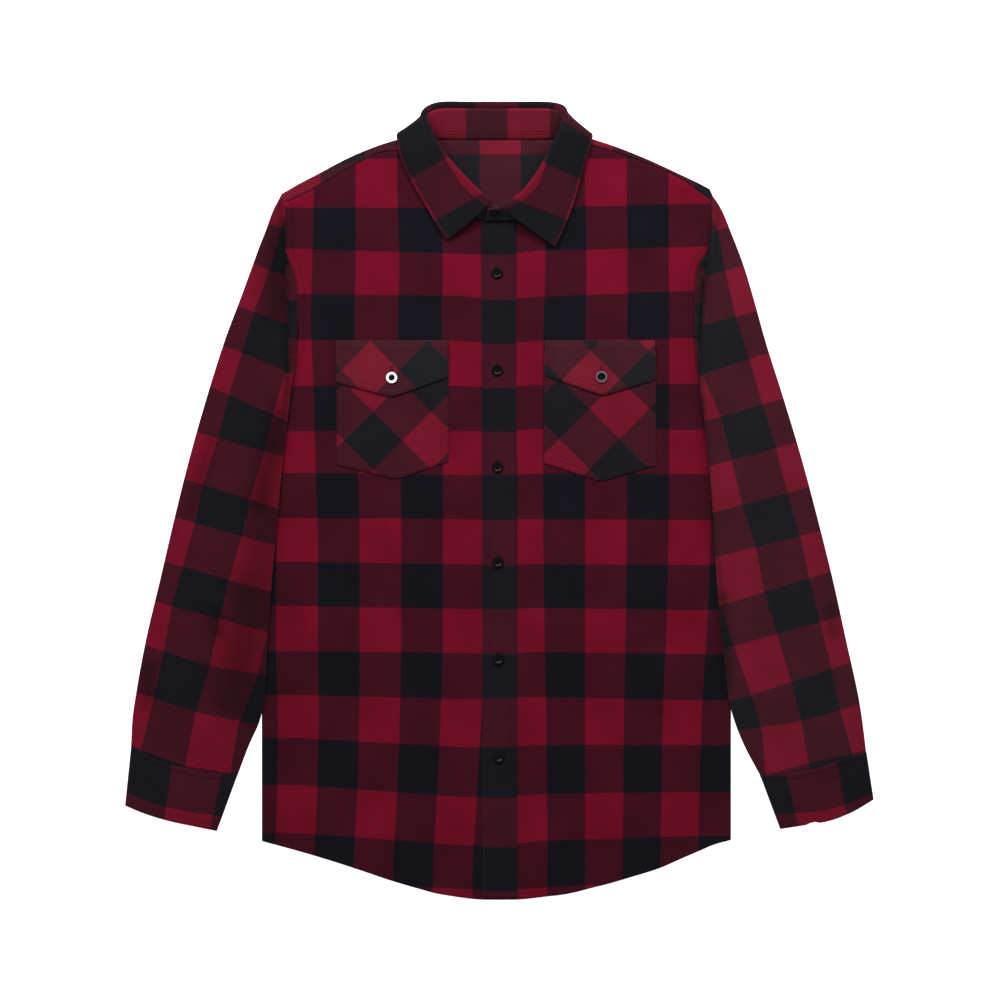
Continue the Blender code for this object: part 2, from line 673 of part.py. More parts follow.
# ---------------------------------------------------------------- collar

def smooth_path(points, t):
    """A point along a smooth curve through the points. t counts them, and may lie between two."""
    last = len(points) - 1
    i = min(int(t), last - 1)
    u = t - i
    p0, p1, p2, p3 = (Vector(points[max(0, min(last, i + k))]) for k in (-1, 0, 1, 2))
    return 0.5 * (
        2 * p1 + (p2 - p0) * u + (2 * p0 - 5 * p1 + 4 * p2 - p3) * u ** 2
        + (3 * p1 - p0 - 3 * p2 + p3) * u ** 3
    )


def stand_point(t, row):
    """The stand's middle surface, t along its stations and row from its seam up to its top."""
    seam = smooth_path([station.seam for station in COLLAR], t)
    top = smooth_path([station.top for station in COLLAR], t)
    return seam.lerp(top, row)


def stand_normal(t, row):
    step = 0.1
    along = stand_point(t + step, row) - stand_point(t - step, row)
    return along.cross(stand_point(t, row + step) - stand_point(t, row - step)).normalized()


def stations(count):
    """Places along this many stations, several to each."""
    return [i / STEPS_PER_STATION for i in range(STEPS_PER_STATION * (count - 1) + 1)]


def collar_stand(look):
    bm = placed_grid(stations(len(COLLAR)), STAND_ROWS, stand_point)
    return solidify(finish("collar_stand", bm, look), DOUBLE, 0)


def collar_leaf(look):
    """The fall: up from the stand, over the roll, and down outside to its edge."""
    first, last = LEAF_SPAN
    seams = [station.seam for station in COLLAR[first:last + 1]]
    tops = [station.top for station in COLLAR[first:last + 1]]
    edges = [station.edge for station in COLLAR[first:last + 1]]
    along = stations(len(tops))

    def place(t, row):
        top = smooth_path(tops, t)
        step = 0.05
        ahead = smooth_path(tops, min(t + step, along[-1]))
        behind = smooth_path(tops, max(t - step, 0.0))
        up = (top - smooth_path(seams, t)).normalized()
        across = (ahead - behind).normalized().cross(up)
        out = -across.normalized()
        start = top + up * LEAF_START / across.length
        rise = lerp(ROLL_END_RISE, ROLL_RISE, ease((along[-1] - t) / 2.0))
        crest = top + up * rise / across.length
        if row <= 1.0:
            return start.lerp(crest, row)
        centre = crest + out * ROLL_RADIUS
        if row <= 2.0:
            angle = math.pi * (row - 1.0)
            return centre - out * ROLL_RADIUS * math.cos(angle) + up * ROLL_RADIUS * math.sin(angle)
        fall = row - 2.0
        start = centre + out * ROLL_RADIUS
        edge = smooth_path(edges, t)
        from_back = max(0.0, BACK_SPAN[0] - t, t - BACK_SPAN[1])
        bend_share = lerp(BACK_BEND, SIDE_BEND, ease(from_back / SIDE_EASE))
        bend = start - up * (edge - start).length * bend_share
        return start.lerp(bend, fall).lerp(bend.lerp(edge, fall), fall)

    bm = placed_grid(along, LEAF_ROWS, place)
    return solidify(finish("collar_leaf", bm, look), LEAF, 0)


# ---------------------------------------------------------------- pockets and flaps

def pointed(x, x0, y0, point_x, point_y, x1, y1):
    """An edge of two straight runs that meet at a point."""
    if x < point_x:
        return lerp(y0, point_y, (x - x0) / (point_x - x0))
    return lerp(point_y, y1, (x - point_x) / (x1 - point_x))


def split_columns(x0, point_x, x1, count):
    first = [lerp(x0, point_x, t) for t in spaced(count)]
    second = [lerp(point_x, x1, t) for t in spaced(count)]
    return first + second[1:]


def pocket(row, look):
    columns = split_columns(row.x0, row.point_x, row.x1, PATCH_COLUMNS)

    def place(x, down):
        low = pointed(x, row.x0, row.corner0, row.point_x, row.point, row.x1, row.corner1)
        y = lerp(row.top, low, down)
        return x, y, front_top_z(x, y) + GAP

    return sheet("pocket_" + row.side, columns, spaced(POCKET_ROWS), place, CLOTH, look)


def flap(row, look):
    columns = split_columns(row.flap_x0, row.flap_x, row.flap_x1, PATCH_COLUMNS)

    def place(x, down):
        low = pointed(x, row.flap_x0, row.flap0, row.flap_x, row.flap_point, row.flap_x1, row.flap1)
        y = FLAP_TOP_Y if down < 0 else lerp(FLAP_STEP_Y, low, down)
        over_pocket = 0.0 if down < 0 else CLOTH + GAP
        return x, y, front_top_z(x, y) + GAP + over_pocket

    return sheet("flap_" + row.side, columns, [-1.0] + spaced(FLAP_ROWS), place, DOUBLE, look)


# ---------------------------------------------------------------- buttons

def button_blank():
    """A dished round button: a disc, its face inset to a rim and sunk, its edges eased."""
    bm = bmesh.new()
    radius = BUTTON_RADIUS * MM
    bmesh.ops.create_cone(
        bm, cap_ends=True, segments=16, radius1=radius, radius2=radius, depth=BUTTON_HEIGHT * MM
    )
    edges = [edge for edge in bm.edges if abs(edge.verts[0].co.z - edge.verts[1].co.z) < 1e-9]
    bmesh.ops.bevel(
        bm, geom=edges, offset=BUTTON_EDGE * MM, segments=1, affect="EDGES", profile=0.5, material=-1
    )
    bm.normal_update()
    face = max(bm.faces, key=lambda f: f.calc_center_median().z)
    bmesh.ops.inset_region(bm, faces=[face], thickness=(BUTTON_RIM - BUTTON_EDGE) * MM, depth=0.0)
    bmesh.ops.inset_region(bm, faces=[face], thickness=BUTTON_DISH * MM, depth=-BUTTON_DISH * MM)
    return bm


def hole_cutter():
    """Four thread holes, side by side in a square."""
    bm = bmesh.new()
    for turn in range(4):
        angle = math.pi / 2 * (turn + 0.5)
        reach = HOLE_OFFSET * math.sqrt(2) * MM
        made = bmesh.ops.create_cone(
            bm, cap_ends=True, segments=6, radius1=HOLE_RADIUS * MM, radius2=HOLE_RADIUS * MM,
            depth=3 * BUTTON_HEIGHT * MM,
        )
        bmesh.ops.translate(bm, verts=made["verts"], vec=(reach * math.cos(angle), reach * math.sin(angle), 0))
    mesh = bpy.data.meshes.new("button_holes")
    bm.to_mesh(mesh)
    bm.free()
    return mesh


def button(name, under, holes, look, up=Vector((0.0, 0.0, 1.0))):
    """A button lying just off the cloth at the point under, facing up."""
    piece = finish(name, button_blank(), look, smooth=False)
    piece.location = (Vector(under) + up * (GAP + BUTTON_HEIGHT / 2)) * MM
    piece.rotation_euler = up.to_track_quat("Z", "Y").to_euler()
    cutter = bpy.data.objects.new(name + "_holes", holes)
    cutter.location = piece.location
    cutter.rotation_euler = piece.rotation_euler
    cutter.hide_render = True
    cutter.display_type = "WIRE"
    bpy.context.scene.collection.objects.link(cutter)
    cut = piece.modifiers.new("Holes", "BOOLEAN")
    cut.operation = "DIFFERENCE"
    cut.solver = "EXACT"
    cut.object = cutter
    return piece


def buttons(black, two_tone):
    holes = hole_cutter()
    for number, y in enumerate(PLACKET_BUTTON_Y, start=1):
        x = lerp(PLACKET_HEM_X, PLACKET_TOP_X, (y - HEM_LOW_Y) / (NECK_DEEP_Y - HEM_LOW_Y)) - PLACKET_BUTTON_SHIFT
        button(f"button_front_{number}", (x, y, front_top_z(x, y) + GAP + DOUBLE), holes, black)
    up = stand_normal(*COLLAR_BUTTON)
    if up.z < 0:
        up = -up
    button("button_collar", stand_point(*COLLAR_BUTTON) + up * DOUBLE / 2, holes, black, up)
    for side, (x, y) in FLAP_BUTTONS.items():
        top_z = front_top_z(x, y) + 2 * GAP + CLOTH + DOUBLE
        button("button_pocket_" + side, (x, y, top_z), holes, two_tone)


# ---------------------------------------------------------------- the shirt

def build():
    for old in list(bpy.data.objects):
        bpy.data.objects.remove(old, do_unlink=True)
    flannel = material("brushed_cotton_flannel", (0.16, 0.010, 0.020), 0.9)
    turned = material("folded_flannel", (0.045, 0.008, 0.013), 0.9)
    horn = material("black_polyester_button", (0.012, 0.012, 0.014), 0.35)
    rimmed = material("rimmed_polyester_button", (0.05, 0.05, 0.055), 0.3)

    back(flannel)
    yoke(flannel)
    yoke_lining(turned)
    for side in ("right", "left"):
        front(side, flannel)
        sleeve(side, flannel)
        cuff(side, turned)
    placket(turned)
    collar_stand(turned)
    collar_leaf(flannel)
    for row in POCKETS:
        pocket(row, flannel)
        flap(row, turned)
    buttons(horn, rimmed)


build()
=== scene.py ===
import math
from bisect import bisect_right
from collections import namedtuple

import bmesh
import bpy
from mathutils import Matrix, Vector
from mathutils.bvhtree import BVHTree


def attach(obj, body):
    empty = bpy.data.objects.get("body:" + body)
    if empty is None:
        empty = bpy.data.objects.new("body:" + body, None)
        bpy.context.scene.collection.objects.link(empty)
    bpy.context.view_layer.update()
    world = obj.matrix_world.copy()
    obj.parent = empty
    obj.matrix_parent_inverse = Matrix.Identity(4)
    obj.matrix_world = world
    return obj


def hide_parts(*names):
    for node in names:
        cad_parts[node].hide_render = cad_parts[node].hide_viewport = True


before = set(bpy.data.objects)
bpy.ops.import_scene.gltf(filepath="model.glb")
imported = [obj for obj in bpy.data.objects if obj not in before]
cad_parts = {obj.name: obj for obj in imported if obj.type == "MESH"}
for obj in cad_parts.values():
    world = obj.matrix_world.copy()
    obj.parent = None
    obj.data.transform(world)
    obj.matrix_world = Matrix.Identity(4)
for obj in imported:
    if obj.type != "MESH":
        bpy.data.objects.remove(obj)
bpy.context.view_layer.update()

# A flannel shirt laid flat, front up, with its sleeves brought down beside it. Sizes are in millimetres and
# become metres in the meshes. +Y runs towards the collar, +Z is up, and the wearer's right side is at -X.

MM = 0.001

# ---- Cloth ----
CLOTH = 1.2
SLEEVE_WALL = 1.0
LINING = 1.0
DOUBLE = 2.0
LEAF = 1.8
GAP = 0.3
TURN_INSET = 0.1
UNDER_STAND = 2.6          # the yoke reaches this far past the back neckline, under the stand

# ---- Body ----
SIDE_X = {"right": -243.6, "left": 237.6}
BACK_SEAM_Y = 270.0
NECK_HALF = 86.0
NECK_DEEP_Y = 286.0
NECK_BACK_Y = 369.5
NECK_POWER = 2.2
CENTRE_X = 10.0
OVERLAP_Z = CLOTH + GAP
CHEST_Z = OVERLAP_Z + LINING + GAP
EASE_SIDE = 45.0
EASE_HEM = 30.0
TAIL_PEEK = 1.6
TAIL_PEEK_X = 73.0
TAIL_PEEK_WIDTH = 30.0
UNDERARM_Y = 165.0
SHOULDER_TIP_Y = 316.0

# Height, and the body's edge on the right and on the left.
ARMHOLE = (
    (316.0, -224.0, 216.0), (304.5, -221.6, 217.2), (281.0, -219.3, 216.9), (262.0, -219.6, 215.6),
    (246.0, -217.2, 207.6), (239.0, -212.8, 203.0), (216.0, -207.5, 201.0), (190.0, -207.8, 201.0),
    (165.0, -208.9, 201.6),
    (132.0, -213.4, 204.7), (103.0, -219.7, 210.6), (82.0, -231.0, 223.0), (70.0, -243.6, 237.6),
)
# Distance from the centre, then the shoulder's fold and the yoke's seam, on the right and on the left.
SHOULDER = (
    (86.0, 375.5, 361.0, 374.5, 366.5), (115.0, 368.0, 359.2, 365.4, 359.7),
    (148.0, 355.5, 345.5, 352.6, 348.2), (189.0, 334.4, 321.3, 333.8, 329.5),
    (208.0, 324.4, 311.6, 324.6, 315.6), (224.0, 315.0, 304.5, 315.5, 304.5),
)
# The hem, from the right side seam to the left.
HEM = (
    (-243.6, -351.2), (-234.0, -353.8), (-217.6, -358.2), (-193.0, -365.2), (-174.4, -370.8),
    (-143.5, -380.8),
    (-112.0, -391.4), (-82.0, -400.2), (-61.0, -405.6), (-12.0, -411.2), (12.0, -411.2), (54.0, -407.2),
    (104.0, -397.0), (134.6, -388.3), (165.5, -378.6), (186.0, -369.6), (207.8, -360.2), (222.2, -354.2),
    (237.6, -350.0),
)

# ---- Sleeves: height, then the outer edges and the inner edges, right and left ----
SLEEVE = (
    (316.0, -224.0, 216.5, -207.0, 200.0), (310.0, -227.0, 222.2, -207.1, 200.1),
    (298.0, -233.1, 229.4, -207.4, 200.4),
    (278.0, -240.3, 237.6, -207.6, 200.6), (257.0, -248.5, 245.9, -207.8, 200.8),
    (237.0, -255.7, 253.1, -208.0, 201.0), (206.0, -267.1, 262.3, -208.4, 201.3),
    (165.0, -282.5, 273.7, -208.9, 201.6), (103.0, -302.1, 293.2, -215.9, 208.4),
    (41.0, -319.6, 311.8, -222.8, 215.4), (-21.0, -335.1, 328.3, -228.5, 220.2),
    (-83.0, -349.5, 343.7, -234.0, 223.8), (-144.0, -363.9, 357.1, -238.3, 229.7),
    (-206.0, -375.2, 370.5, -241.8, 236.3), (-227.0, -378.0, 373.8, -246.5, 241.7),
    (-252.0, -379.3, 376.9, -257.4, 251.6), (-284.0, -381.5, 380.0, -269.6, 268.5),
)
# ---- Cuffs: across from the outer edge, then top and end on the right, top and end on the left ----
CUFF = (
    (0.00, (-379.0, -252.0), (-385.5, -315.0), (378.2, -260.0), (385.5, -308.7)),
    (0.25, (-352.6, -267.3), (-363.5, -323.9), (350.0, -268.6), (363.0, -321.8)),
    (0.50, (-325.0, -275.9), (-339.9, -331.0), (322.1, -277.3), (338.0, -331.2)),
    (0.75, (-297.0, -281.6), (-315.5, -336.2), (296.0, -283.0), (313.0, -335.4)),
    (1.00, (-269.4, -283.0), (-290.8, -341.2), (268.5, -284.0), (289.1, -339.1)),
)
TURN_HEIGHT = 3.3
HOLLOW_HEAD = 2.0          # between a sleeve's layers: at its head, along the arm, and above the cuff
HOLLOW = 2.5
WRIST_PUFF = 3.1
WRIST_GAP = -1.5           # the sleeve ends inside its cuff
HEAD_LAP = 0.25            # the sleeve's head reaches this far in past the armhole's edge
SEAM_OPEN = 0.75           # the yoke's front edge stays this far above its seam, away from the tips
UNDER_REACH = 0.4          # the yoke's under layer reaches over the sleeve by this share of TIP_REACH
TIP_SEAM = 0.3             # what is left of the yoke seam's relief at its tips
SLEEVE_LAP = 15.0          # beside the body a sleeve stays up this far, and comes down over SLEEVE_RAMP
SLEEVE_RAMP = 22.0
HEAD_ROLL = (2.2, 1.0)     # how far in each end of a sleeve rounds off, and how far it falls
WRIST_ROLL = (2.6, 1.2)
CUFF_TOP_ROLL = (3.2, 2.0)
CUFF_END_ROLL = (1.5, 0.7)
CUFF_NICK = (323.0, 3.6, 2.6)    # where the left cuff's end is notched, how wide and how deep
CUFF_WALL = 1.8
CUFF_HEIGHT = 5.8
CUFF_TURN = 4.6            # its height at the folded edges

# ---- Soft folds: start, end, width and height ----
BODY_RIDGES = (
    (-232, 40, -120, -20, 26, 0.8), (226, 36, 118, -30, 26, 0.8), (-205, -120, -190, -330, 24, 0.8),
    (-150, -60, -128, -345, 26, 0.7), (-74, 0, -84, -360, 24, 0.6), (86, -20, 70, -350, 24, 0.6),
    (150, -90, 138, -350, 26, 0.7), (204, -110, 196, -330, 24, 0.8), (-196, 290, -186, 190, 22, 0.7),
    (190, 296, 180, 190, 22, 0.7),
)
# Across each sleeve: how far down the arm and across it each starts and ends, width and height.
SLEEVE_CREASES = (
    (0.10, 0.95, 0.30, 0.35, 20, 1.3), (0.34, 0.90, 0.46, 0.30, 20, 1.1), (0.52, 0.12, 0.60, 0.70, 18, 1.1),
    (0.66, 0.92, 0.72, 0.40, 18, 1.0), (0.98, 0.30, 0.80, 0.34, 14, 1.2), (0.98, 0.68, 0.82, 0.62, 14, 1.2),
    (0.18, 0.98, 0.24, 0.60, 7, 0.5), (0.26, 0.99, 0.33, 0.66, 6, -0.5), (0.60, 0.99, 0.64, 0.74, 6, -0.4),
    (0.99, 0.48, 0.90, 0.50, 6, 0.6), (0.99, 0.18, 0.92, 0.22, 6, 0.5), (0.99, 0.84, 0.91, 0.80, 6, 0.5),
    (0.01, 0.18, 0.10, 0.12, 4, -0.6), (0.01, 0.36, 0.12, 0.26, 4, -0.7), (0.02, 0.55, 0.15, 0.42, 4, -0.6),
    (0.04, 0.74, 0.20, 0.60, 5, -0.6),
)
SLEEVE_WIDTH = 110.0
SLEEVE_LENGTH = 520.0

# ---- Placket, pockets and buttons ----
PLACKET_HALF = 16.0
PLACKET_TOP_X = -1.0
PLACKET_HEM_X = 1.2
PLACKET_BUTTON_SHIFT = 1.6
Pocket = namedtuple(
    "Pocket", "side x0 x1 top corner0 point_x point corner1 flap_x0 flap_x1 flap0 flap_x flap_point flap1"
)
POCKETS = (
    Pocket(
        "right", -166.6, -53.0, 152.0, 36.4, -105.4, 21.8, 39.9, -167.1, -54.3, 121.6, -110.7, 107.1, 126.6
    ),
    Pocket("left", 47.0, 160.6, 152.0, 38.2, 104.9, 19.4, 36.2, 48.2, 159.0, 128.8, 106.5, 108.5, 124.2),
)
FLAP_TOP_Y = 162.6
FLAP_STEP_Y = 157.0
BUTTON_RADIUS = 5.8
BUTTON_HEIGHT = 2.2
BUTTON_THREAD = (4.4, 0.7, 0.6)
THREAD_HEIGHT = 1.65
BUTTON_SHANK = 0.2         # how far its thread holds a button off the placket, and off a flap
FLAP_BUTTON_SHANK = 0.5
BUTTON_STEPS = ((0.9, 0.0), (0.5, -0.35), (0.7, -0.3), (0.5, -0.05))     # its dish: each inset and its rise
HOLE_RADIUS = 0.75
HOLE_OFFSET = 1.25         # from the button's middle, along each side of the square of holes
WHITE_RIM_FROM = 3.4       # a rim's inner radius
GREY_RIM_FROM = 4.3
PLACKET_BUTTON_Y = (233.5, 133.6, 33.8, -64.1, -164.0, -264.9)
COLLAR_BUTTON = (19.55, 0.62)
FLAP_BUTTONS = {"right": (-110.8, 125.6), "left": (105.3, 126.4)}

# ---- Collar, from the right front to the left: the stand's foot, its top, and the fall's edge ----
COLLAR = (
    ((-1.0, 287.2, 5.3), (-1.5, 302.6, 13.6), None),
    ((-15.0, 288.0, 5.3), (-10.9, 304.2, 16.4), (-53.2, 267.9, 7.6)),
    ((-38.0, 294.5, 5.3), (-26.0, 317.5, 19.5), (-61.5, 279.0, 7.6)),
    ((-59.0, 311.0, 5.3), (-40.5, 332.4, 21.5), (-76.5, 304.5, 7.2)),
    ((-75.0, 331.0, 5.3), (-55.3, 349.1, 22.5), (-91.5, 331.0, 7.0)),
    ((-83.0, 349.0, 5.3), (-65.6, 364.8, 23.0), (-102.0, 353.5, 7.0)),
    ((-81.0, 364.5, 3.0), (-72.6, 380.2, 23.5), (-104.0, 366.5, 6.6)),
    ((-71.0, 371.5, 2.4), (-75.0, 394.2, 24.0), (-103.0, 378.0, 6.4)),
    ((-58.0, 371.2, 2.4), (-62.0, 402.0, 24.0), (-76.0, 377.6, 2.2)),
    ((-30.0, 371.0, 2.4), (-30.0, 402.4, 24.0), (-31.0, 375.5, 1.2)),
    ((-3.0, 371.0, 2.4), (-3.0, 402.4, 24.0), (-3.0, 375.2, 1.2)),
    ((24.0, 371.0, 2.4), (24.0, 402.4, 24.0), (25.0, 375.5, 1.2)),
    ((52.0, 371.2, 2.4), (52.5, 402.0, 24.0), (66.0, 377.4, 2.2)),
    ((66.0, 371.5, 2.4), (64.5, 397.2, 24.0), (93.0, 377.6, 6.4)),
    ((78.0, 364.5, 3.0), (65.0, 381.6, 23.5), (94.5, 368.0, 6.6)),
    ((82.0, 348.0, 5.3), (58.7, 365.5, 23.0), (89.5, 351.0, 7.0)),
    ((74.0, 330.0, 5.3), (50.4, 349.0, 22.5), (82.5, 326.5, 7.0)),
    ((58.0, 310.5, 5.3), (38.3, 329.2, 21.5), (75.0, 301.5, 7.2)),
    ((38.0, 294.5, 5.3), (22.2, 311.9, 20.0), (65.0, 276.0, 7.6)),
    ((14.0, 288.5, 8.0), (2.5, 301.8, 18.2), (57.0, 260.4, 8.4)),
    ((-13.6, 287.4, 8.9), (-12.0, 299.4, 16.6), None),
)
LEAF_SPAN = (1, 19)
LEAF_START = 0.9
ROLL_RISE = 3.0
ROLL_END_RISE = 1.2
ROLL_RADIUS = 2.2
BACK_SPAN = (7.0, 11.0)
BACK_BEND = 0.35
SIDE_BEND = 0.15

# ---- The check ----
# Warp stripes and weft stripes, red and black by turns, each CHECK wide. A pattern place is a pair: the
# stripe's number along the weft and along the warp. An even number is a red stripe, an odd one black.
CHECK = 42.6
# Body, warp: height, then where stripe 1 and stripe 4 end on the right front, stripe 1.. on the left.
BODY_WARP = (
    (319.0, -190.9, -62.1, 88.3, 217.0), (236.6, -192.9, -58.0, 89.8, 217.0),
    (187.2, -193.9, -59.5, 88.8, 218.1), (102.7, -190.9, -58.0, 88.3, 218.1),
    (1.8, -188.3, -58.0, 88.3, 218.1), (-41.5, -186.7, -58.0, 88.3, 217.0),
    (-132.1, -186.7, -58.0, 88.3, 213.9), (-224.8, -186.2, -60.6, 88.3, 208.3),
    (-321.6, -188.3, -65.2, 88.3, 205.7), (-371.1, -190.9, -68.3, 88.3, 204.7),
)
# Body, weft: where each stripe's line lies at five places across the shirt.
BODY_WEFT_X = (-205.3, -40.5, -0.3, 36.8, 196.4)
BODY_WEFT = (
    (351.0, 351.0, 351.0, 351.0, 351.0),
    (300.5, 300.5, 300.5, 300.5, 304.6),
    (258.3, 253.1, 252.1, 256.2, 260.3),
    (211.9, 209.9, 205.7, 208.8, 215.0),
    (164.5, 163.5, 160.4, 163.5, 166.6),
    (117.2, 117.2, 115.1, 118.2, 119.2),
    (70.8, 70.8, 69.8, 72.9, 71.8),
    (27.6, 25.5, 25.5, 26.5, 26.5),
    (-18.8, -19.8, -20.9, -19.8, -20.9),
    (-64.1, -66.2, -68.2, -66.2, -67.2),
    (-109.4, -112.5, -112.5, -111.5, -113.6),
    (-155.8, -157.8, -158.9, -156.8, -158.9),
    (-201.1, -205.2, -204.2, -203.2, -206.3),
    (-245.4, -254.7, -254.7, -252.6, -252.6),
    (-293.8, -306.2, -307.2, -303.1, -301.0),
    (-343.2, -355.6, -357.7, -351.5, -346.3),
    (-391.7, -400.9, -403.0, -399.9, -391.7),
    (-437.0, -446.2, -448.3, -445.2, -437.0),
)
# Sleeves: for each weft line from stripe -2 on, its ends on the first and the second warp line.
SLEEVE_CHECK = {
    "right": (
        ((-209.4, 323.2), (-178.5, 311.8)), ((-224.8, 279.9), (-193.9, 268.6)),
        ((-236.2, 236.6), (-202.2, 224.3)),
        ((-252.7, 193.4), (-218.7, 181.0)), ((-265.0, 151.2), (-219.7, 132.6)),
        ((-278.4, 107.9), (-233.1, 87.3)),
        ((-289.7, 63.6), (-241.3, 50.2)), ((-305.2, 15.2), (-256.8, -0.3)),
        ((-313.4, -23.9), (-265.0, -37.3)),
        ((-325.8, -69.3), (-278.4, -82.7)), ((-337.1, -109.4), (-287.7, -122.8)),
        ((-345.4, -155.8), (-298.0, -171.2)),
        ((-355.7, -204.2), (-312.4, -218.6)), ((-369.0, -257.8), (-323.7, -274.2)),
        ((-379.3, -302.0), (-334.0, -318.5)),
    ),
    "left": (
        ((204.7, 319.0), (173.8, 309.8)), ((225.3, 277.8), (193.3, 268.6)), ((232.5, 235.6), (198.5, 226.3)),
        ((243.3, 188.5), (210.8, 180.0)), ((257.6, 144.7), (208.8, 128.5)), ((270.9, 98.0), (228.0, 85.6)),
        ((285.0, 53.3), (239.5, 40.9)), ((296.3, 7.0), (250.0, -5.4)), ((309.7, -37.3), (264.4, -48.7)),
        ((319.0, -80.6), (272.6, -95.0)), ((330.3, -125.9), (286.0, -138.3)),
        ((341.7, -174.3), (300.5, -187.7)),
        ((350.9, -216.6), (310.8, -227.9)), ((363.3, -261.4), (318.5, -271.1)),
        ((373.6, -305.1), (328.3, -315.4)),
    ),
}
# Where three of those lines bend on their way to the inner edge: a third point for each.
SLEEVE_BEND = {
    "right": {9: (-253.7, -178.4), 10: (-267.1, -227.9), 11: (-278.8, -281.1)},
    "left": {10: (265.4, -234.5), 11: (272.2, -284.0)},
}
SLEEVE_FIRST = -2
# The tuck beside each armhole, where the check steps: its two ends, and where a stripe ends on it.
TUCK = {"right": ((-220.0, 240.0), (-216.6, 129.5), 204.7), "left": ((212.0, 240.0), (205.2, 129.5), 202.1)}
TUCK_STRIPE = 38.0
TUCK_NEAR_X = 12.0         # the box in which the mesh is cut along it
TUCK_NEAR_Y = 14.0
TUCK_WARP = 1.97           # beside the tuck the sleeve's black warp stripe runs on to it
# The valley along the tuck: height, then its line on the right and on the left.
VALLEY = (
    (60.0, -222.5, 213.5), (102.0, -218.6, 209.5), (132.0, -217.1, 205.8), (152.0, -217.0, 205.6),
    (183.0, -218.6, 208.2), (204.0, -219.2, 209.0), (234.0, -219.8, 212.2), (262.0, -222.4, 215.4),
    (290.0, -224.2, 217.6), (312.0, -223.4, 217.0),
)
VALLEY_DEPTH = 3.0
VALLEY_WIDTH = {"right": 1.9, "left": 1.5}
# The cloth stands up on both sides of the valley: how much, how far from it, and over what width.
BANK = (2.2, 5.0, 2.6)
# Below the underarm a trough in the fronts runs beside each sleeve: its depth, width and distance from the
# sleeve's edge, then the same for the swell beside it.
TROUGH = (1.5, 3.2, 1.5)
SWELL = (1.1, 6.0, 11.0)
# How far each end of the yoke reaches over the head of the sleeve, at each height.
TIP_REACH = {
    "right": ((300.0, 0.0), (306.0, 0.8), (311.0, 1.4), (316.0, 0.0), (322.0, 0.0)),
    "left": ((300.0, 0.4), (305.0, 1.4), (310.0, 3.2), (314.0, 2.8), (318.0, 1.0), (322.0, 0.0)),
}
# Yoke: where a warp stripe ends, its pitch, and a weft line's two ends, with 1 where red lies above it.
YOKE_CHECK = {
    "right": (-184.1, 46.2, (-176.6, 340.5), (-137.8, 352.5), -1),
    "left": (117.1, 42.2, (129.5, 355.1), (177.9, 338.6), 1),
}
LINING_WARP_X = -20.4
LINING_WEFT_Y = 356.5
LINING_STRETCH = 0.6
# Collar: weft lines from the outer edge inwards. The outer strip is a red warp stripe.
LEAF_STRIP = 2.4
LEAF_SECOND = 46.0         # where the next stripe starts, this far from the edge, or this close to the roll
LEAF_INNER = 3.2
LEAF_WEFT = {
    "right": (((-88.8, 331.4), (-57.2, 349.8)), ((-69.3, 285.5), (-34.3, 305.5))),
    "left": (((94.5, 371.6), (64.6, 389.1)), ((82.1, 330.4), (46.0, 346.3)), ((68.7, 288.1), (23.8, 305.7))),
}
LEAF_STRETCH = 0.45         # past the right leaf's first line the cloth comes round the neck
# Pockets and flaps, cut on the bias: a red square's centre and its half diagonal, on the flap and the pocket.
BIAS = {
    "right": (((-132.8, 133.4), 29.7), ((-129.8, 120.6), 29.8)),
    "left": (((94.3, 123.6), 29.6), ((123.6, 93.6), 30.9)),
}
# Painted shade along the folds: darkening put into the colour where the folds' shadows fall. It is colour and
# not form, as the troughs are shallow at this thickness. Start and end, width, and how much darker.
FOLD_PAINTED_SHADE = (
    (-223.5, 285.0, -221.8, 206.0, 4.5, 0.38), (-221.8, 206.0, -217.4, 108.0, 4.5, 0.35),
    (-232.0, 262.0, -230.0, 192.0, 12.0, 0.5), (-226.0, 84.0, -246.0, -2.0, 14.0, 0.6),
    (-252.0, -48.0, -254.0, -78.0, 18.0, 0.28), (-259.0, -104.0, -272.0, -205.0, 22.0, 0.48),
    (-360.0, -172.0, -362.0, -205.0, 9.0, 0.38), (-296.0, 62.0, -318.6, -10.0, 7.0, 0.28),
    (-294.0, -114.0, -290.0, -136.0, 7.0, 0.5),
    (216.4, 280.0, 212.0, 236.0, 2.8, 0.6), (212.0, 236.0, 207.0, 165.0, 2.8, 0.6),
    (207.0, 165.0, 205.8, 118.0, 2.8, 0.55), (207.5, 252.0, 203.5, 195.0, 5.0, 0.4),
    (208.5, 102.0, 214.5, 30.0, 3.4, 0.6), (214.5, 30.0, 229.0, -100.0, 3.0, 0.35),
    (229.5, -100.0, 234.0, -190.0, 7.0, 0.6), (341.0, -112.0, 343.0, -136.0, 8.0, 0.5),
    (-228.0, -20.0, -240.0, -330.0, 30.0, 0.3), (-229.0, 304.0, -230.0, 278.0, 8.0, 0.32),
    (221.0, 305.0, 226.0, 286.0, 5.0, 0.35),
)
FRONT_PAINTED_SHADE_SHARE = 0.5        # the fronts beside a sleeve take this share of it
# Painted sheen: how much pale light is painted onto each kind of piece, the sleeves by their side; and
# painted light on the stand, how much brighter it is made.
PAINTED_SHEEN = {
    "back": 0.1, "front": 0.15, "placket": 0.5, "yoke": 1.1, "lining": 1.2, "right": 0.4, "left": 0.9,
    "cuff": 0.5, "stand": 1.4, "leaf": 0.6, "pocket": 0.7, "flap": 1.3,
}
# Painted light on the stand: a negative painted shade that makes its colour brighter.
STAND_PAINTED_LIGHT = -0.42
PAINTED_SHEEN_LIGHT = 0.0042       # what a painted sheen of 1 adds to the base colour
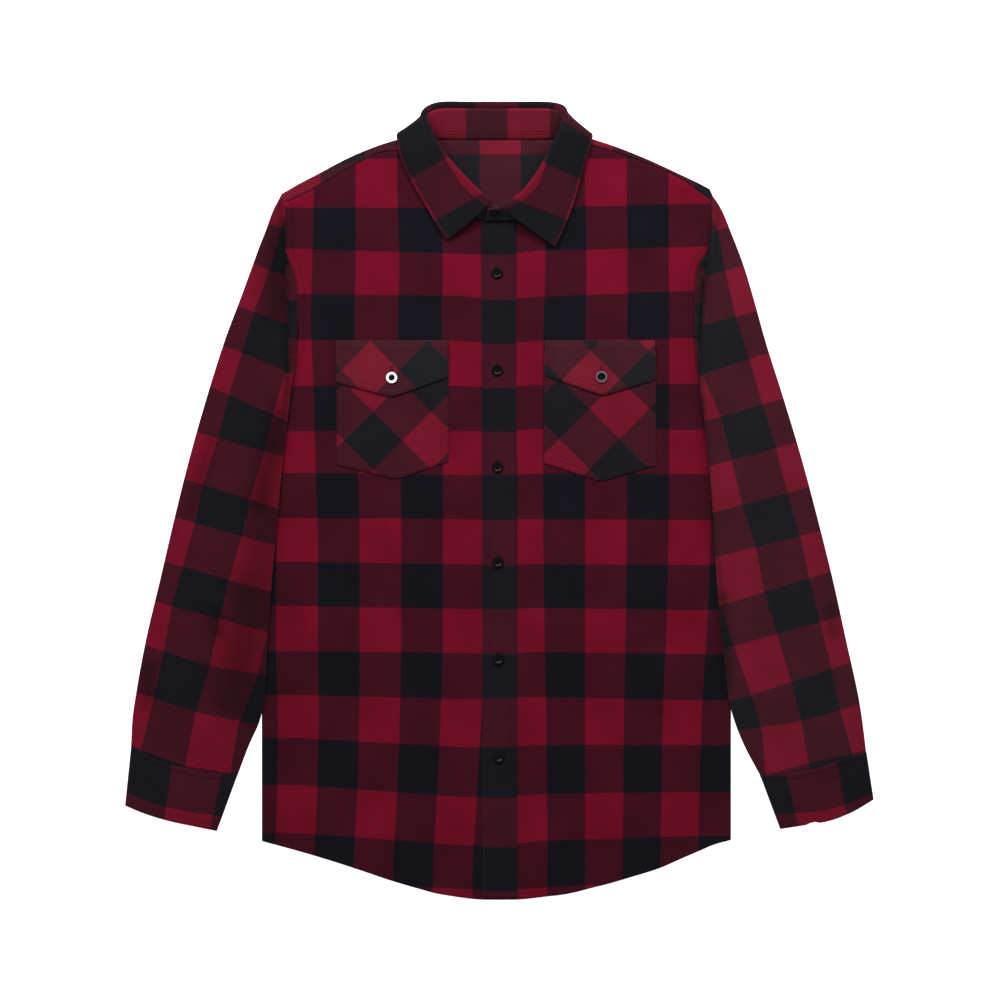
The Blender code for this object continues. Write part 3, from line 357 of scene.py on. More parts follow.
# Cuffs: the two warp lines at the seam and at the end, and the weft line at the outer and inner edge.
CUFF_CHECK = {
    "right": ((0.39, 0.446), (0.85, 0.93), (0.78, 0.74)),
    "left": ((0.27, 0.305), (0.755, 0.80), (0.86, 0.72)),
}


# ---------------------------------------------------------------- reading the tables

def lerp(a, b, t):
    return a + (b - a) * t


def ease(t):
    """0 to 1, starting and ending gently."""
    t = max(0.0, min(1.0, t))
    return t * t * (3.0 - 2.0 * t)


def bell(distance, width):
    return math.exp(-((distance / width) ** 2))


def curve(points):
    """A smooth line through (at, value) points that doesn't swing past them, as a function of at."""
    points = sorted(points)
    ats = [point[0] for point in points]
    values = [point[1] for point in points]
    slopes = [(values[i + 1] - values[i]) / (ats[i + 1] - ats[i]) for i in range(len(ats) - 1)]
    tangents = [slopes[0]]
    for before, after in zip(slopes, slopes[1:]):
        tangents.append(2.0 * before * after / (before + after) if before * after > 0 else 0.0)
    tangents.append(slopes[-1])

    def value(at):
        at = max(ats[0], min(ats[-1], at))
        i = min(bisect_right(ats, at), len(ats) - 1) - 1
        span = ats[i + 1] - ats[i]
        t = (at - ats[i]) / span
        rise = values[i] * (1 + 2 * t) * (1 - t) ** 2 + values[i + 1] * t * t * (3 - 2 * t)
        return rise + span * (tangents[i] * t * (1 - t) ** 2 - tangents[i + 1] * t * t * (1 - t))

    return value


def column(table, index):
    return curve([(row[0], row[index]) for row in table])


SIDE = {"right": column(ARMHOLE, 1), "left": column(ARMHOLE, 2)}
FOLD = {"right": column(SHOULDER, 1), "left": column(SHOULDER, 3)}
SEAM = {"right": column(SHOULDER, 2), "left": column(SHOULDER, 4)}
HEM_LINE = column(HEM, 1)
OUTER = {"right": column(SLEEVE, 1), "left": column(SLEEVE, 2)}
INNER = {"right": column(SLEEVE, 3), "left": column(SLEEVE, 4)}
VALLEYS = {"right": column(VALLEY, 1), "left": column(VALLEY, 2)}
WARP_LINES = [column(BODY_WARP, index) for index in (1, 2, 3, 4)]


def cuff_curve(index):
    along = [curve([(row[0], row[index][axis]) for row in CUFF]) for axis in (0, 1)]
    return lambda across: (along[0](across), along[1](across))


CUFF_LINES = {
    ("right", "top"): cuff_curve(1), ("right", "end"): cuff_curve(2),
    ("left", "top"): cuff_curve(3), ("left", "end"): cuff_curve(4),
}


def side_of(x):
    return "right" if x < 0 else "left"


def outward(side):
    """-1 on the wearer's right, +1 on the left."""
    return -1 if side == "right" else 1


def seam_y(x):
    return SEAM[side_of(x)](abs(x))


def front_top_y(x):
    """The fronts' upper edge: the neckline, then the yoke's seam."""
    if abs(x) >= NECK_HALF:
        return seam_y(x) - GAP
    neck_point = seam_y(math.copysign(NECK_HALF, x)) - GAP
    return lerp(NECK_DEEP_Y, neck_point, (abs(x) / NECK_HALF) ** NECK_POWER)


def ridge_height(x, y, x0, y0, x1, y1, width, height):
    along_x = x1 - x0
    along_y = y1 - y0
    length = math.hypot(along_x, along_y)
    t = ((x - x0) * along_x + (y - y0) * along_y) / length ** 2
    if not 0.0 < t < 1.0:
        return 0.0
    away = ((x - x0) * along_y - (y - y0) * along_x) / length
    return height * math.sin(math.pi * t) * bell(away, width)


def front_z(x, y):
    """The underside of the fronts. Low at the side seams and the hem, and lifted by the soft folds."""
    side = side_of(x)
    inside = abs(SIDE[side](y) - x)
    at_armhole = ease((y - 60.0) / 60.0)
    lift = lerp(ease(inside / EASE_SIDE), 1.0, at_armhole) * ease((y - HEM_LINE(x)) / EASE_HEM)
    ridges = sum(ridge_height(x, y, *ridge) for ridge in BODY_RIDGES)
    return lerp(OVERLAP_Z, CHEST_Z, lift) + ridges * lift


def front_top_z(x, y):
    return front_z(x, y) + CLOTH


# ---------------------------------------------------------------- where the check falls

def beyond(line, x, y):
    """How far a point lies to one side of a line given by two points."""
    (x0, y0), (x1, y1) = line
    return ((x - x0) * (y1 - y0) - (y - y0) * (x1 - x0)) / math.hypot(x1 - x0, y1 - y0)


def bent(line, third):
    """The same line, or its run from its second point to the third."""
    return line if third is None else (line[1], third)


def weft_stripe(lines, x, y, first):
    """The stripe's number among weft lines, counted on past the first and the last one."""
    away = [beyond(line, x, y) for line in lines]
    for i in range(len(lines) - 1):
        share = away[i] / (away[i] - away[i + 1])
        if share <= 1.0:
            break
    return first + i + share, i, share


def body_check(x, y):
    lines = [line(y) for line in WARP_LINES]
    if x < (lines[1] + lines[2]) / 2:
        warp = 1.0 + 3.0 * (x - lines[0]) / (lines[1] - lines[0])
    else:
        warp = 2.0 + 3.0 * (x - lines[2]) / (lines[3] - lines[2])
    return warp, body_weft(x, y)


def body_weft(x, y):
    xs = BODY_WEFT_X
    i = max(0, min(len(xs) - 2, bisect_right(xs, x) - 1))
    t = max(0.0, min(1.0, (x - xs[i]) / (xs[i + 1] - xs[i])))
    heights = [lerp(row[i], row[i + 1], t) for row in BODY_WEFT]
    k = 0
    while k < len(heights) - 2 and y < heights[k + 1]:
        k += 1
    return k + (heights[k] - y) / (heights[k] - heights[k + 1])


def sleeve_place(lines, x, y):
    stripe, i, share = weft_stripe(lines, x, y, SLEEVE_FIRST)
    outer = Vector(lines[i][0]).lerp(Vector(lines[i + 1][0]), share)
    inner = Vector(lines[i][1]).lerp(Vector(lines[i + 1][1]), share)
    across = inner - outer
    return 1.0 + (Vector((x, y)) - outer).dot(across) / across.length_squared, stripe


def sleeve_check(side, x, y):
    lines = SLEEVE_CHECK[side]
    warp, stripe = sleeve_place(lines, x, y)
    if y > TUCK[side][1][1]:
        return min(warp, TUCK_WARP), stripe
    if warp > 2.0:
        bends = [bent(line, SLEEVE_BEND[side].get(k)) for k, line in enumerate(lines, start=SLEEVE_FIRST)]
        stripe = weft_stripe(bends, x, y, SLEEVE_FIRST)[0]
    return warp, stripe


def yoke_check(x, y):
    edge, pitch, start, end, red_above = YOKE_CHECK[side_of(x)]
    above = -beyond((start, end), x, y)
    return 1.0 + (x - edge) / pitch, 1.0 - red_above * above / CHECK


def bias_check(centre, half, x, y):
    across = x - centre[0]
    down = centre[1] - y
    return 0.5 + (across + down) / (2 * half), 0.5 + (across - down) / (2 * half)


# ---------------------------------------------------------------- making cloth

def spaced(count):
    return [i / count for i in range(count + 1)]


def off_run(x, y, x0, y0, x1, y1):
    """How far a point is from a run between two points."""
    along_x = x1 - x0
    along_y = y1 - y0
    t = ((x - x0) * along_x + (y - y0) * along_y) / (along_x ** 2 + along_y ** 2)
    t = max(0.0, min(1.0, t))
    return math.hypot(x - x0 - t * along_x, y - y0 - t * along_y)


def painted_tones(kind, share=0.0, painted_shade=0.0):
    """A piece's painted tones at each place: its painted shade, and its painted sheen. A negative painted
    shade paints light.
    """
    def state(x, y):
        unshaded = 1.0
        if share:
            for *run, width, amount in FOLD_PAINTED_SHADE:
                unshaded *= 1.0 - share * amount * bell(off_run(x, y, *run), width)
        return 1.0 - unshaded + painted_shade, PAINTED_SHEEN[kind]

    return state


def cloth(name, columns, rows, place, check, wall, nap, grows=1, drop=None, refine=None):
    """A grid of points as a wall of cloth.

    place gives the point of a column and row. check gives its pattern place, knowing the middle of the face
    that asks, and nap its painted shade and painted sheen. grows is 1 for a wall built up from the points, -1
    for one built inwards, 0 for both. drop says which faces are left out, and refine works on the mesh and
    its pattern before it gets its wall. The piece replaces the node of its name.
    """
    bm = bmesh.new()
    layer = bm.loops.layers.uv.new("check")
    # The nap map holds each place's painted shade and painted sheen.
    tone_layer = bm.loops.layers.uv.new("nap")
    bmesh.ops.create_grid(bm, x_segments=len(columns) - 1, y_segments=len(rows) - 1, size=0.5)
    spots = {}
    for vert in bm.verts:
        i = round((vert.co.x + 0.5) * (len(columns) - 1))
        j = round((vert.co.y + 0.5) * (len(rows) - 1))
        point = place(columns[i], rows[j])
        spots[vert] = (i, j, point, nap(point[0], point[1]))
        vert.co = Vector(point) * MM
    for face in bm.faces:
        corners = [spots[vert] for vert in face.verts]
        middle = [sum(corner[k] for corner in corners) / len(corners) for k in (0, 1)]
        centre = [sum(corner[2][k] for corner in corners) / len(corners) for k in (0, 1, 2)]
        for loop in face.loops:
            i, j, point, state = spots[loop.vert]
            loop[layer].uv = check(columns[i], rows[j], point, middle, centre)
            loop[tone_layer].uv = state
    if drop:
        doomed = [face for face in bm.faces if drop([spots[vert] for vert in face.verts])]
        bmesh.ops.delete(bm, geom=doomed, context="FACES")
    bmesh.ops.remove_doubles(bm, verts=bm.verts, dist=1e-6)
    if refine:
        refine(bm, layer)
    bmesh.ops.recalc_face_normals(bm, faces=bm.faces)
    bm.normal_update()
    if grows == 1:
        inside_out = sum(face.normal.z * face.calc_area() for face in bm.faces) < 0
    else:
        lowest = min(bm.faces, key=lambda face: face.calc_center_median().z)
        inside_out = grows == -1 and lowest.normal.z > 0
    if inside_out:
        bmesh.ops.reverse_faces(bm, faces=bm.faces)
    piece = place_piece(name + "_cloth", bm, FLANNEL)
    thicken = piece.modifiers.new("Wall", "SOLIDIFY")
    thicken.thickness = wall * MM
    thicken.offset = grows
    thicken.use_even_offset = False
    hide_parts(name)
    return piece


def place_piece(name, bm, look):
    mesh = bpy.data.meshes.new(name)
    bm.to_mesh(mesh)
    bm.free()
    mesh.shade_smooth()
    mesh.materials.append(look)
    piece = bpy.data.objects.new(name, mesh)
    bpy.context.scene.collection.objects.link(piece)
    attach(piece, "root")
    return piece


# ---------------------------------------------------------------- materials

def srgb(code):
    """A hex colour as linear red, green, blue and alpha."""
    parts = [int(code[i:i + 2], 16) / 255 for i in (1, 3, 5)]
    linear = [part / 12.92 if part <= 0.04045 else ((part + 0.055) / 1.055) ** 2.4 for part in parts]
    return (*linear, 1.0)


def add(tree, kind, inputs=None, **settings):
    """Adds a node with its settings. inputs gives each socket's value, or the output that feeds it."""
    made = tree.nodes.new(kind)
    for name, value in settings.items():
        setattr(made, name, value)
    for socket, value in (inputs or {}).items():
        if isinstance(value, bpy.types.NodeSocket):
            tree.links.new(value, made.inputs[socket])
        else:
            made.inputs[socket].default_value = value
    return made


def maths(tree, operation, *values):
    """What a Math node makes of its values."""
    return add(tree, "ShaderNodeMath", dict(enumerate(values)), operation=operation).outputs[0]


def vectors(tree, operation, first, second=None, scale=None):
    """What a Vector Math node makes of two vectors, or of a vector and a scale."""
    other = {1: second} if scale is None else {"Scale": scale}
    return add(tree, "ShaderNodeVectorMath", {0: first, **other}, operation=operation).outputs[0]


def noise(tree, place, scale, detail, out="Fac"):
    return add(tree, "ShaderNodeTexNoise", {"Vector": place, "Scale": scale, "Detail": detail}).outputs[out]


def begin(name):
    made = bpy.data.materials.new(name)
    made.use_nodes = True
    tree = made.node_tree
    return made, tree, tree.nodes["Principled BSDF"]


def brushed_flannel():
    """Brushed cotton twill of red and black yarns: matt and slightly furry, with a soft edge to each stripe.

    Where a red stripe crosses a black one, both colours show as a fine fleck, so the square is dark red.
    """
    made, tree, shader = begin("brushed_cotton_flannel")
    places = add(tree, "ShaderNodeUVMap", uv_map="check").outputs["UV"]
    # Fibres blur a stripe's edge over about 0.7 mm, and stray by half a millimetre.
    stray = noise(tree, places, CHECK / 1.6, 2.0, "Color")
    shift = vectors(tree, "SUBTRACT", stray, (0.5, 0.5, 0.5))
    moved = vectors(tree, "ADD", places, vectors(tree, "SCALE", shift, scale=0.045))
    split = add(tree, "ShaderNodeSeparateXYZ", {0: moved})
    reds = []
    for axis in ("X", "Y"):
        there = maths(tree, "PINGPONG", maths(tree, "ADD", split.outputs[axis], 0.5), 1.0)
        reds.append(add(
            tree, "ShaderNodeMapRange", {"Value": there, "From Min": 0.487, "From Max": 0.513},
            interpolation_type="SMOOTHSTEP",
        ).outputs["Result"])
    share = maths(tree, "MULTIPLY", maths(tree, "ADD", *reds), 0.5)
    # Yarns are 0.4 mm apart, too fine to show, so the flecks are drawn about 1.2 mm wide and 3 mm long.
    stretched = vectors(tree, "MULTIPLY", places, (CHECK / 1.3, CHECK / 2.6, 1.0))
    fleck = {"Vector": stretched, "Scale": 1.0, "Detail": 3.0, "Roughness": 0.7}
    fleck = add(tree, "ShaderNodeTexNoise", fleck).outputs["Fac"]
    fleck = maths(tree, "MULTIPLY", maths(tree, "SUBTRACT", fleck, 0.5), 0.42)
    from_half = maths(tree, "ABSOLUTE", maths(tree, "SUBTRACT", share, 0.5))
    crossed = maths(tree, "MULTIPLY_ADD", from_half, -1.5, 1.0)
    ramp = add(tree, "ShaderNodeValToRGB", {"Fac": maths(tree, "MULTIPLY_ADD", fleck, crossed, share)})
    elements = ramp.color_ramp.elements
    elements[0].color = srgb("#0e0d13")
    elements[1].color = srgb("#60071d")
    elements.new(0.5).color = srgb("#330916")
    # The nap lies unevenly, in patches a few centimetres across.
    spot = add(tree, "ShaderNodeTexCoord").outputs["Object"]
    patch = noise(tree, spot, 22.0, 4.0)
    level = {"Value": patch, "From Min": 0.3, "From Max": 0.7, "To Min": 0.86, "To Max": 1.13}
    level = add(tree, "ShaderNodeMapRange", level).outputs["Result"]
    # The nap map holds painted shade and painted sheen: how much darker each place is painted, and how much
    # pale light is painted onto it.
    state = add(tree, "ShaderNodeUVMap", uv_map="nap").outputs["UV"]
    state = add(tree, "ShaderNodeSeparateXYZ", {0: state})
    level = maths(tree, "MULTIPLY", level, maths(tree, "SUBTRACT", 1.0, state.outputs["X"]))
    shade = vectors(tree, "SCALE", ramp.outputs["Color"], scale=level)
    pale = vectors(tree, "SCALE", (PAINTED_SHEEN_LIGHT, PAINTED_SHEEN_LIGHT, PAINTED_SHEEN_LIGHT), scale=state.outputs["Y"])
    tree.links.new(vectors(tree, "ADD", shade, pale), shader.inputs["Base Color"])
    # The twill's diagonals are 0.8 mm apart, and are drawn 1.7 mm apart under the nap.
    nap = noise(tree, spot, 650.0, 3.0)
    twill = {"Vector": places, "Scale": CHECK / 1.7 / 6.283, "Distortion": 1.5, "Detail": 1.0}
    twill = add(tree, "ShaderNodeTexWave", twill, bands_direction="DIAGONAL").outputs["Fac"]
    relief = {"Height": maths(tree, "MULTIPLY_ADD", twill, 0.35, nap), "Strength": 0.65, "Distance": 0.0006}
    tree.links.new(add(tree, "ShaderNodeBump", relief).outputs["Normal"], shader.inputs["Normal"])
    shader.inputs["Roughness"].default_value = 0.95
    shader.inputs["Specular IOR Level"].default_value = 0.03
    shader.inputs["Sheen Weight"].default_value = 0.045
    shader.inputs["Sheen Roughness"].default_value = 0.45
    return made


def sewing_thread():
    """Spun polyester thread, near black: a faint satin line with a rope-like twist."""
    made, tree, shader = begin("black_polyester_thread")
    spot = add(tree, "ShaderNodeTexCoord").outputs["Object"]
    twist = noise(tree, spot, 1800.0, 2.0)
    bump = add(tree, "ShaderNodeBump", {"Height": twist, "Strength": 0.4, "Distance": 0.0002})
    tree.links.new(bump.outputs["Normal"], shader.inputs["Normal"])
    ramp = add(tree, "ShaderNodeValToRGB", {"Fac": twist})
    ramp.color_ramp.elements[0].color = srgb("#170a0f")
    ramp.color_ramp.elements[1].color = srgb("#2a1018")
    tree.links.new(ramp.outputs["Color"], shader.inputs["Base Color"])
    shader.inputs["Roughness"].default_value = 0.75
    shader.inputs["Specular IOR Level"].default_value = 0.05
    return made


def moulded_button(name, dark, light, roughness, shine):
    """Cast polyester, tumble-polished: smooth and semi-gloss, with faint clouding and fine scratches."""
    made, tree, shader = begin(name)
    spot = add(tree, "ShaderNodeTexCoord").outputs["Object"]
    cloud = noise(tree, spot, 260.0, 3.0)
    ramp = add(tree, "ShaderNodeValToRGB", {"Fac": cloud})
    ramp.color_ramp.elements[0].color = srgb(dark)
    ramp.color_ramp.elements[1].color = srgb(light)
    tree.links.new(ramp.outputs["Color"], shader.inputs["Base Color"])
    scratch = noise(tree, spot, 1500.0, 2.0)
    rough = {"Value": scratch, "To Min": roughness - 0.06, "To Max": roughness + 0.08}
    rough = add(tree, "ShaderNodeMapRange", rough).outputs["Result"]
    tree.links.new(rough, shader.inputs["Roughness"])
    shader.inputs["IOR"].default_value = 1.55
    shader.inputs["Specular IOR Level"].default_value = shine
    return made


FLOOR_GLOW = 0.9           # the floor's own light, beside what falls on it


def studio_floor():
    """A white sweep that gives off light of its own, so that next to no shadow shows on it."""
    made, tree, shader = begin("lit_white_sweep")
    spot = add(tree, "ShaderNodeTexCoord").outputs["Object"]
    grain = add(tree, "ShaderNodeTexNoise", {"Vector": spot, "Scale": 3.0}).outputs["Fac"]
    ramp = add(tree, "ShaderNodeValToRGB", {"Fac": grain})
    ramp.color_ramp.elements[0].color = srgb("#f3f3f2")
    ramp.color_ramp.elements[1].color = srgb("#f6f6f5")
    tree.links.new(ramp.outputs["Color"], shader.inputs["Base Color"])
    shader.inputs["Roughness"].default_value = 1.0
    shader.inputs["Specular IOR Level"].default_value = 0.0
    shader.inputs["Emission Color"].default_value = (1.0, 1.0, 1.0, 1.0)
    shader.inputs["Emission Strength"].default_value = FLOOR_GLOW
    return made


FLANNEL = brushed_flannel()
THREAD = sewing_thread()
BLACK_BUTTON = moulded_button("black_polyester_button", "#020203", "#060607", 0.2, 0.12)
WHITE_RIM = moulded_button("white_polyester_rim", "#e4e3e6", "#f4f3f6", 0.25, 0.5)
GREY_RIM = moulded_button("grey_polyester_rim", "#46474b", "#66676b", 0.3, 0.4)


# ---------------------------------------------------------------- body

EDGE_INSETS = (
    19.0, 17.5, 16.2, 15.0, 13.8, 12.7, 11.6, 10.6, 9.7, 8.9, 8.3, 7.8, 7.4, 6.9, 6.4, 5.8, 5.1, 4.3, 3.4,
    2.6, 1.8,
    1.3, 0.8, 0.4, 0.15, 0.0,
)
HEM_RISES = (13.0, 9.5, 7.6, 6.8, 6.0, 5.2, 3.8, 2.0, 1.0, 0.4, 0.0)
SEAM_BAND = 7.6            # a pressed seam allowance, stitched down
BAND_HEIGHT = 0.75
HEM_BAND = 6.4
HEM_HEIGHT = 0.35
SIDE_POWER = 6             # how sharply a panel's rows turn to meet its side edge
CORNER = 0.05              # and the share of its length over which they stop doing so, at the top and the hem
SEAM_RIPPLE = 0.2          # fine creases that run beside the armhole's seam


def band(distance, width, height):
    """A seam allowance's step: full inside the width, gone 1 mm past it, and pinched where it is stitched."""
    step = 1.0 - ease((distance - width + 0.4) / 1.4)
    return height * (step - 0.7 * bell(distance - width + 1.1, 0.7))


def rounded_off(distance, reach, fall):
    """How far a turned edge has dropped, this far inside it."""
    if distance >= reach:
        return 0.0
    t = 1.0 - distance / reach
    return fall * (1.0 - math.sqrt(max(0.0, 1.0 - t * t)))


def panel_place(side, centre, top_side, tip):
    """A front's points.

    A column is a share across and an inset from the edge, a row a share down and a rise from the hem.
    """
    sign = outward(side)
    hem_side = HEM[0][1]

    def place(column_stop, row_stop):
        share, inset = column_stop
        down, rise = row_stop
        y_side = lerp(top_side, hem_side, down - rise / (top_side - hem_side))
        edge = SIDE[side](y_side) - sign * GAP / 2
        across = share - inset / abs(edge - centre)
        x_top = lerp(centre, tip, across)
        x_hem = lerp(centre, SIDE_X[side], across)
        top_y = front_top_y(x_top)
        hem = HEM_LINE(x_hem)
        y = lerp(top_y, hem, down - rise / (top_y - hem))
        x = lerp(centre, edge, across)
        y = lerp(y, y_side, across ** SIDE_POWER * ease(down / CORNER) * ease((1.0 - down) / CORNER))
        from_edge = abs(edge - x)
        from_hem = y - HEM_LINE(x)
        arm = ease((y - 62.0) / 14.0)
        z = front_z(x, y)
        pucker = 1.0 + 0.35 * math.sin(y * 0.71 + 2.0 * math.sin(y * 0.13))
        z += arm * band(from_edge, SEAM_BAND, BAND_HEIGHT) * pucker
        ripple = math.sin(from_edge * 1.75 + 1.2 * math.sin(y * 0.047) + 0.5 * math.sin(y * 0.21))
        z += SEAM_RIPPLE * arm * ripple * ease(from_edge / 3.0) * ease((19.0 - from_edge) / 6.0)
        z += band(from_hem, HEM_BAND, HEM_HEIGHT)
        z = max(z + trough(side, x, y), OVERLAP_Z - 0.2)
        z -= rounded_off(from_edge, 1.6, lerp(1.25, 1.0, arm))
        z -= rounded_off(from_hem, 1.2, 0.5)
        return x, y, z

    return place


def front(side):
    sign = outward(side)
    centre = CENTRE_X if side == "right" else CENTRE_X + GAP
    top_side = seam_y(SIDE[side](SHOULDER_TIP_Y)) - GAP
    tip = SIDE[side](top_side) - sign * GAP / 2
    columns = [(0.9 * t, 0.0) for t in spaced(48)] + [(1.0, inset) for inset in EDGE_INSETS]
    rows = [(0.975 * t, 0.0) for t in spaced(150)] + [(1.0, rise) for rise in HEM_RISES]

    def check(column_stop, row_stop, point, middle, centre):
        return body_check(point[0], point[1])

    place = panel_place(side, centre, top_side, tip)
    return cloth("front_" + side, columns, rows, place, check, CLOTH, painted_tones("front", FRONT_PAINTED_SHADE_SHARE))


def tail_y(x):
    return HEM_LINE(x) - TAIL_PEEK * bell(x - TAIL_PEEK_X, TAIL_PEEK_WIDTH)


def back():
    top = BACK_SEAM_Y - GAP / 2
    hem_side = HEM[0][1]

    def place(across, down):
        side = "right" if across < 0 else "left"
        sign = outward(side)
        y_side = lerp(top, hem_side, down)
        tuck = lerp(GAP / 2, 1.7, ease((80.0 - y_side) / 10.0))
        edge = SIDE[side](y_side) - sign * tuck
        x = edge * abs(across)
        y = lerp(top, tail_y(SIDE_X[side] * abs(across)), down)
        y = lerp(y, y_side, abs(across) ** SIDE_POWER * ease((1.0 - down) / CORNER))
        return x, y, 0.0

    def check(across, down, point, middle, centre):
        return body_check(point[0], point[1])

    columns = [i / 24 for i in range(-24, 25)]
    return cloth("back", columns, spaced(110), place, check, CLOTH, painted_tones("back"))


def yoke():
    """Flat under the shoulders, turned over their top, and down to the seam on each front."""
    tips = {side: SIDE[side](SHOULDER_TIP_Y) for side in ("right", "left")}
    middle_z = CLOTH / 2 + 0.02
    top_z = CHEST_Z + CLOTH / 2
    radius = (top_z - middle_z) / 2
    reach = {side: curve(rows) for side, rows in TIP_REACH.items()}

    def place(x_top, row):
        side = side_of(x_top)
        at_neck = abs(x_top) < NECK_HALF
        crest = NECK_BACK_Y + UNDER_STAND if at_neck else FOLD[side](abs(x_top)) - radius - CLOTH / 2
        inset = GAP if row < 1.0 else TURN_INSET
        z = middle_z
        if row <= 1.0:
            y = lerp(BACK_SEAM_Y + GAP / 2, crest, row)
        elif row <= 2.0:
            angle = math.pi * (row - 1.0)
            y = crest + radius * math.sin(angle)
            z = middle_z + radius * (1.0 - math.cos(angle))
        else:
            low = seam_y(x_top)
            stretch = abs(SIDE[side](low) + outward(side) * reach[side](low)) / abs(tips[side])
            low = seam_y(x_top * stretch) + SEAM_OPEN * ease((abs(tips[side]) - abs(x_top)) / 8.0)
            y = lerp(crest, low, row - 2.0)
            from_seam = y - low
            z = top_z
        raised = ease(row - 1.0)
        edge = SIDE[side](y) + outward(side) * (reach[side](y) * lerp(UNDER_REACH, 1.0, raised) - inset)
        x = x_top * edge / tips[side]
        from_tip = abs(edge) - abs(x)
        if row > 2.0:
            shown = ease(from_tip / 11.0)
            z += (band(from_seam, 3.2, 0.3) - rounded_off(from_seam, 1.0, 0.5)) * lerp(TIP_SEAM, 1.0, shown)
        z -= raised * rounded_off(from_tip, 2.6, 0.9)
        return x, y, z

    def check(x_top, row, point, middle, centre):
        return yoke_check(x_top, point[1])

    def drop(corners):
        raised = any(corner[2][2] > middle_z + 0.01 for corner in corners)
        return raised and any(abs(corner[2][0]) < NECK_HALF - 1.0 for corner in corners)

    outwards = spaced(34)[:-1] + [0.98, 0.987, 0.993, 0.998, 1.0]
    right = [lerp(-NECK_HALF, tips["right"], t) for t in outwards]
    left = [lerp(NECK_HALF, tips["left"], t) for t in outwards]
    columns = right[::-1] + [-60.0, -30.0, 0.0, 30.0, 60.0] + left
    rows = [0.0, 0.2, 0.4, 0.6, 0.8, 0.92, 1.0] + [1.0 + t for t in spaced(8)[1:]]
    rows += [2.0 + t for t in (0.1, 0.25, 0.4, 0.55, 0.68, 0.78, 0.86, 0.92, 0.96, 1.0)]
    return cloth("yoke", columns, rows, place, check, CLOTH, painted_tones("yoke"), grows=0, drop=drop)


def yoke_lining():
    """The inner yoke, which shows inside the neck."""
    def place(across, row):
        half = lerp(150.0, NECK_HALF - 2.0, ease(row))
        y = lerp(BACK_SEAM_Y + 2.0, NECK_BACK_Y + 1.3, row)
        ripple = 0.15 * math.sin(across * 9.0 + row * 4.0) * math.sin(math.pi * row)
        return across * half, y, OVERLAP_Z + 0.15 + ripple

    def check(across, row, point, middle, centre):
        above = (point[1] - LINING_WEFT_Y) / CHECK
        return (point[0] - LINING_WARP_X) / CHECK, above if above > 0 else above * LINING_STRETCH

    columns = [i / 20 for i in range(-20, 21)]
    return cloth("yoke_lining", columns, spaced(24), place, check, LINING, painted_tones("lining"))


def placket():
    top = NECK_DEEP_Y + 0.6
    insets = [16.0, 12.5, 9.0, 7.0, 6.0, 5.2, 4.4, 3.2, 1.6, 0.7, 0.25, 0.0]
    columns = [-(PLACKET_HALF - inset) for inset in reversed(insets)]
    columns += [PLACKET_HALF - inset for inset in insets[1:]]

    def place(offset, down):
        centre = lerp(PLACKET_TOP_X, PLACKET_HEM_X, down)
        x = centre + offset
        y = lerp(top, HEM_LINE(x), down)
        from_edge = PLACKET_HALF - abs(offset)
        z = front_top_z(x, y) + GAP
        z += 0.2 * ease(from_edge / 6.0) - 0.3 * bell(from_edge - 5.2, 0.8)
        z -= rounded_off(from_edge, 1.4, 0.6)
        return x, y, z

    def check(offset, down, point, middle, centre):
        warp = 5.5 + offset / (2.4 * PLACKET_HALF)
        return warp, body_weft(-0.3, point[1])

    return cloth("placket", columns, spaced(170), place, check, DOUBLE, painted_tones("placket"))


# ---------------------------------------------------------------- sleeves and cuffs

TURN_STOPS = (0.0, 0.35, 0.9, 1.65, 3.2, 6.0)
INNER_STOPS = TURN_STOPS[:-1] + tuple(4.2 + i for i in range(17))
ACROSS_STOPS = (
    [("outer", stop) for stop in TURN_STOPS] + [("middle", t) for t in spaced(16)[1:-1]]
    + [("inner", stop) for stop in reversed(INNER_STOPS)]
)
RING = (
    [("under", stop) for stop in ACROSS_STOPS] + [("over", stop) for stop in reversed(ACROSS_STOPS[1:-1])]
    + [("under", ACROSS_STOPS[0])]
)
UNDER_COUNT = len(ACROSS_STOPS) - 1


def across_share(stop, width):
    kind, value = stop
    if kind == "outer":
        return value / width
    if kind == "inner":
        return 1.0 - value / width
    return lerp(TURN_STOPS[-1] / width, 1.0 - INNER_STOPS[-1] / width, value)


def head_line(side, across):
    y = lerp(SHOULDER_TIP_Y, UNDERARM_Y, across)
    return SIDE[side](y) - outward(side) * HEAD_LAP, y


def sleeve_plan(side, across, down):
    """The sleeve's outline filled in: its head and cuff lines, and its outer and inner edges, blended."""
    head = head_line(side, across)
    wrist = CUFF_LINES[side, "top"](across)
    wrist = (wrist[0], wrist[1] + WRIST_GAP)
    cuff_outer = CUFF_LINES[side, "top"](0.0)
    cuff_inner = CUFF_LINES[side, "top"](1.0)
    ends = [head_line(side, 0.0), head_line(side, 1.0), cuff_outer, cuff_inner]
    outer_y = lerp(ends[0][1], cuff_outer[1] + WRIST_GAP, down)
    inner_y = lerp(ends[1][1], cuff_inner[1] + WRIST_GAP, down)
    blend = -outward(side) * HEAD_LAP * (1.0 - ease(down / 0.06))
    outer = (OUTER[side](outer_y) + blend, outer_y)
    inner = (INNER[side](inner_y) + blend, inner_y)
    point = []
    for axis in (0, 1):
        at_head = lerp(ends[0][axis], ends[1][axis], across)
        at_cuff = lerp(ends[2][axis], ends[3][axis], across)
        corners = lerp(at_head, at_cuff, down)
        if axis == 1:
            corners += down * WRIST_GAP
        point.append(lerp(outer[axis], inner[axis], across) + lerp(head[axis], wrist[axis], down) - corners)
    return point


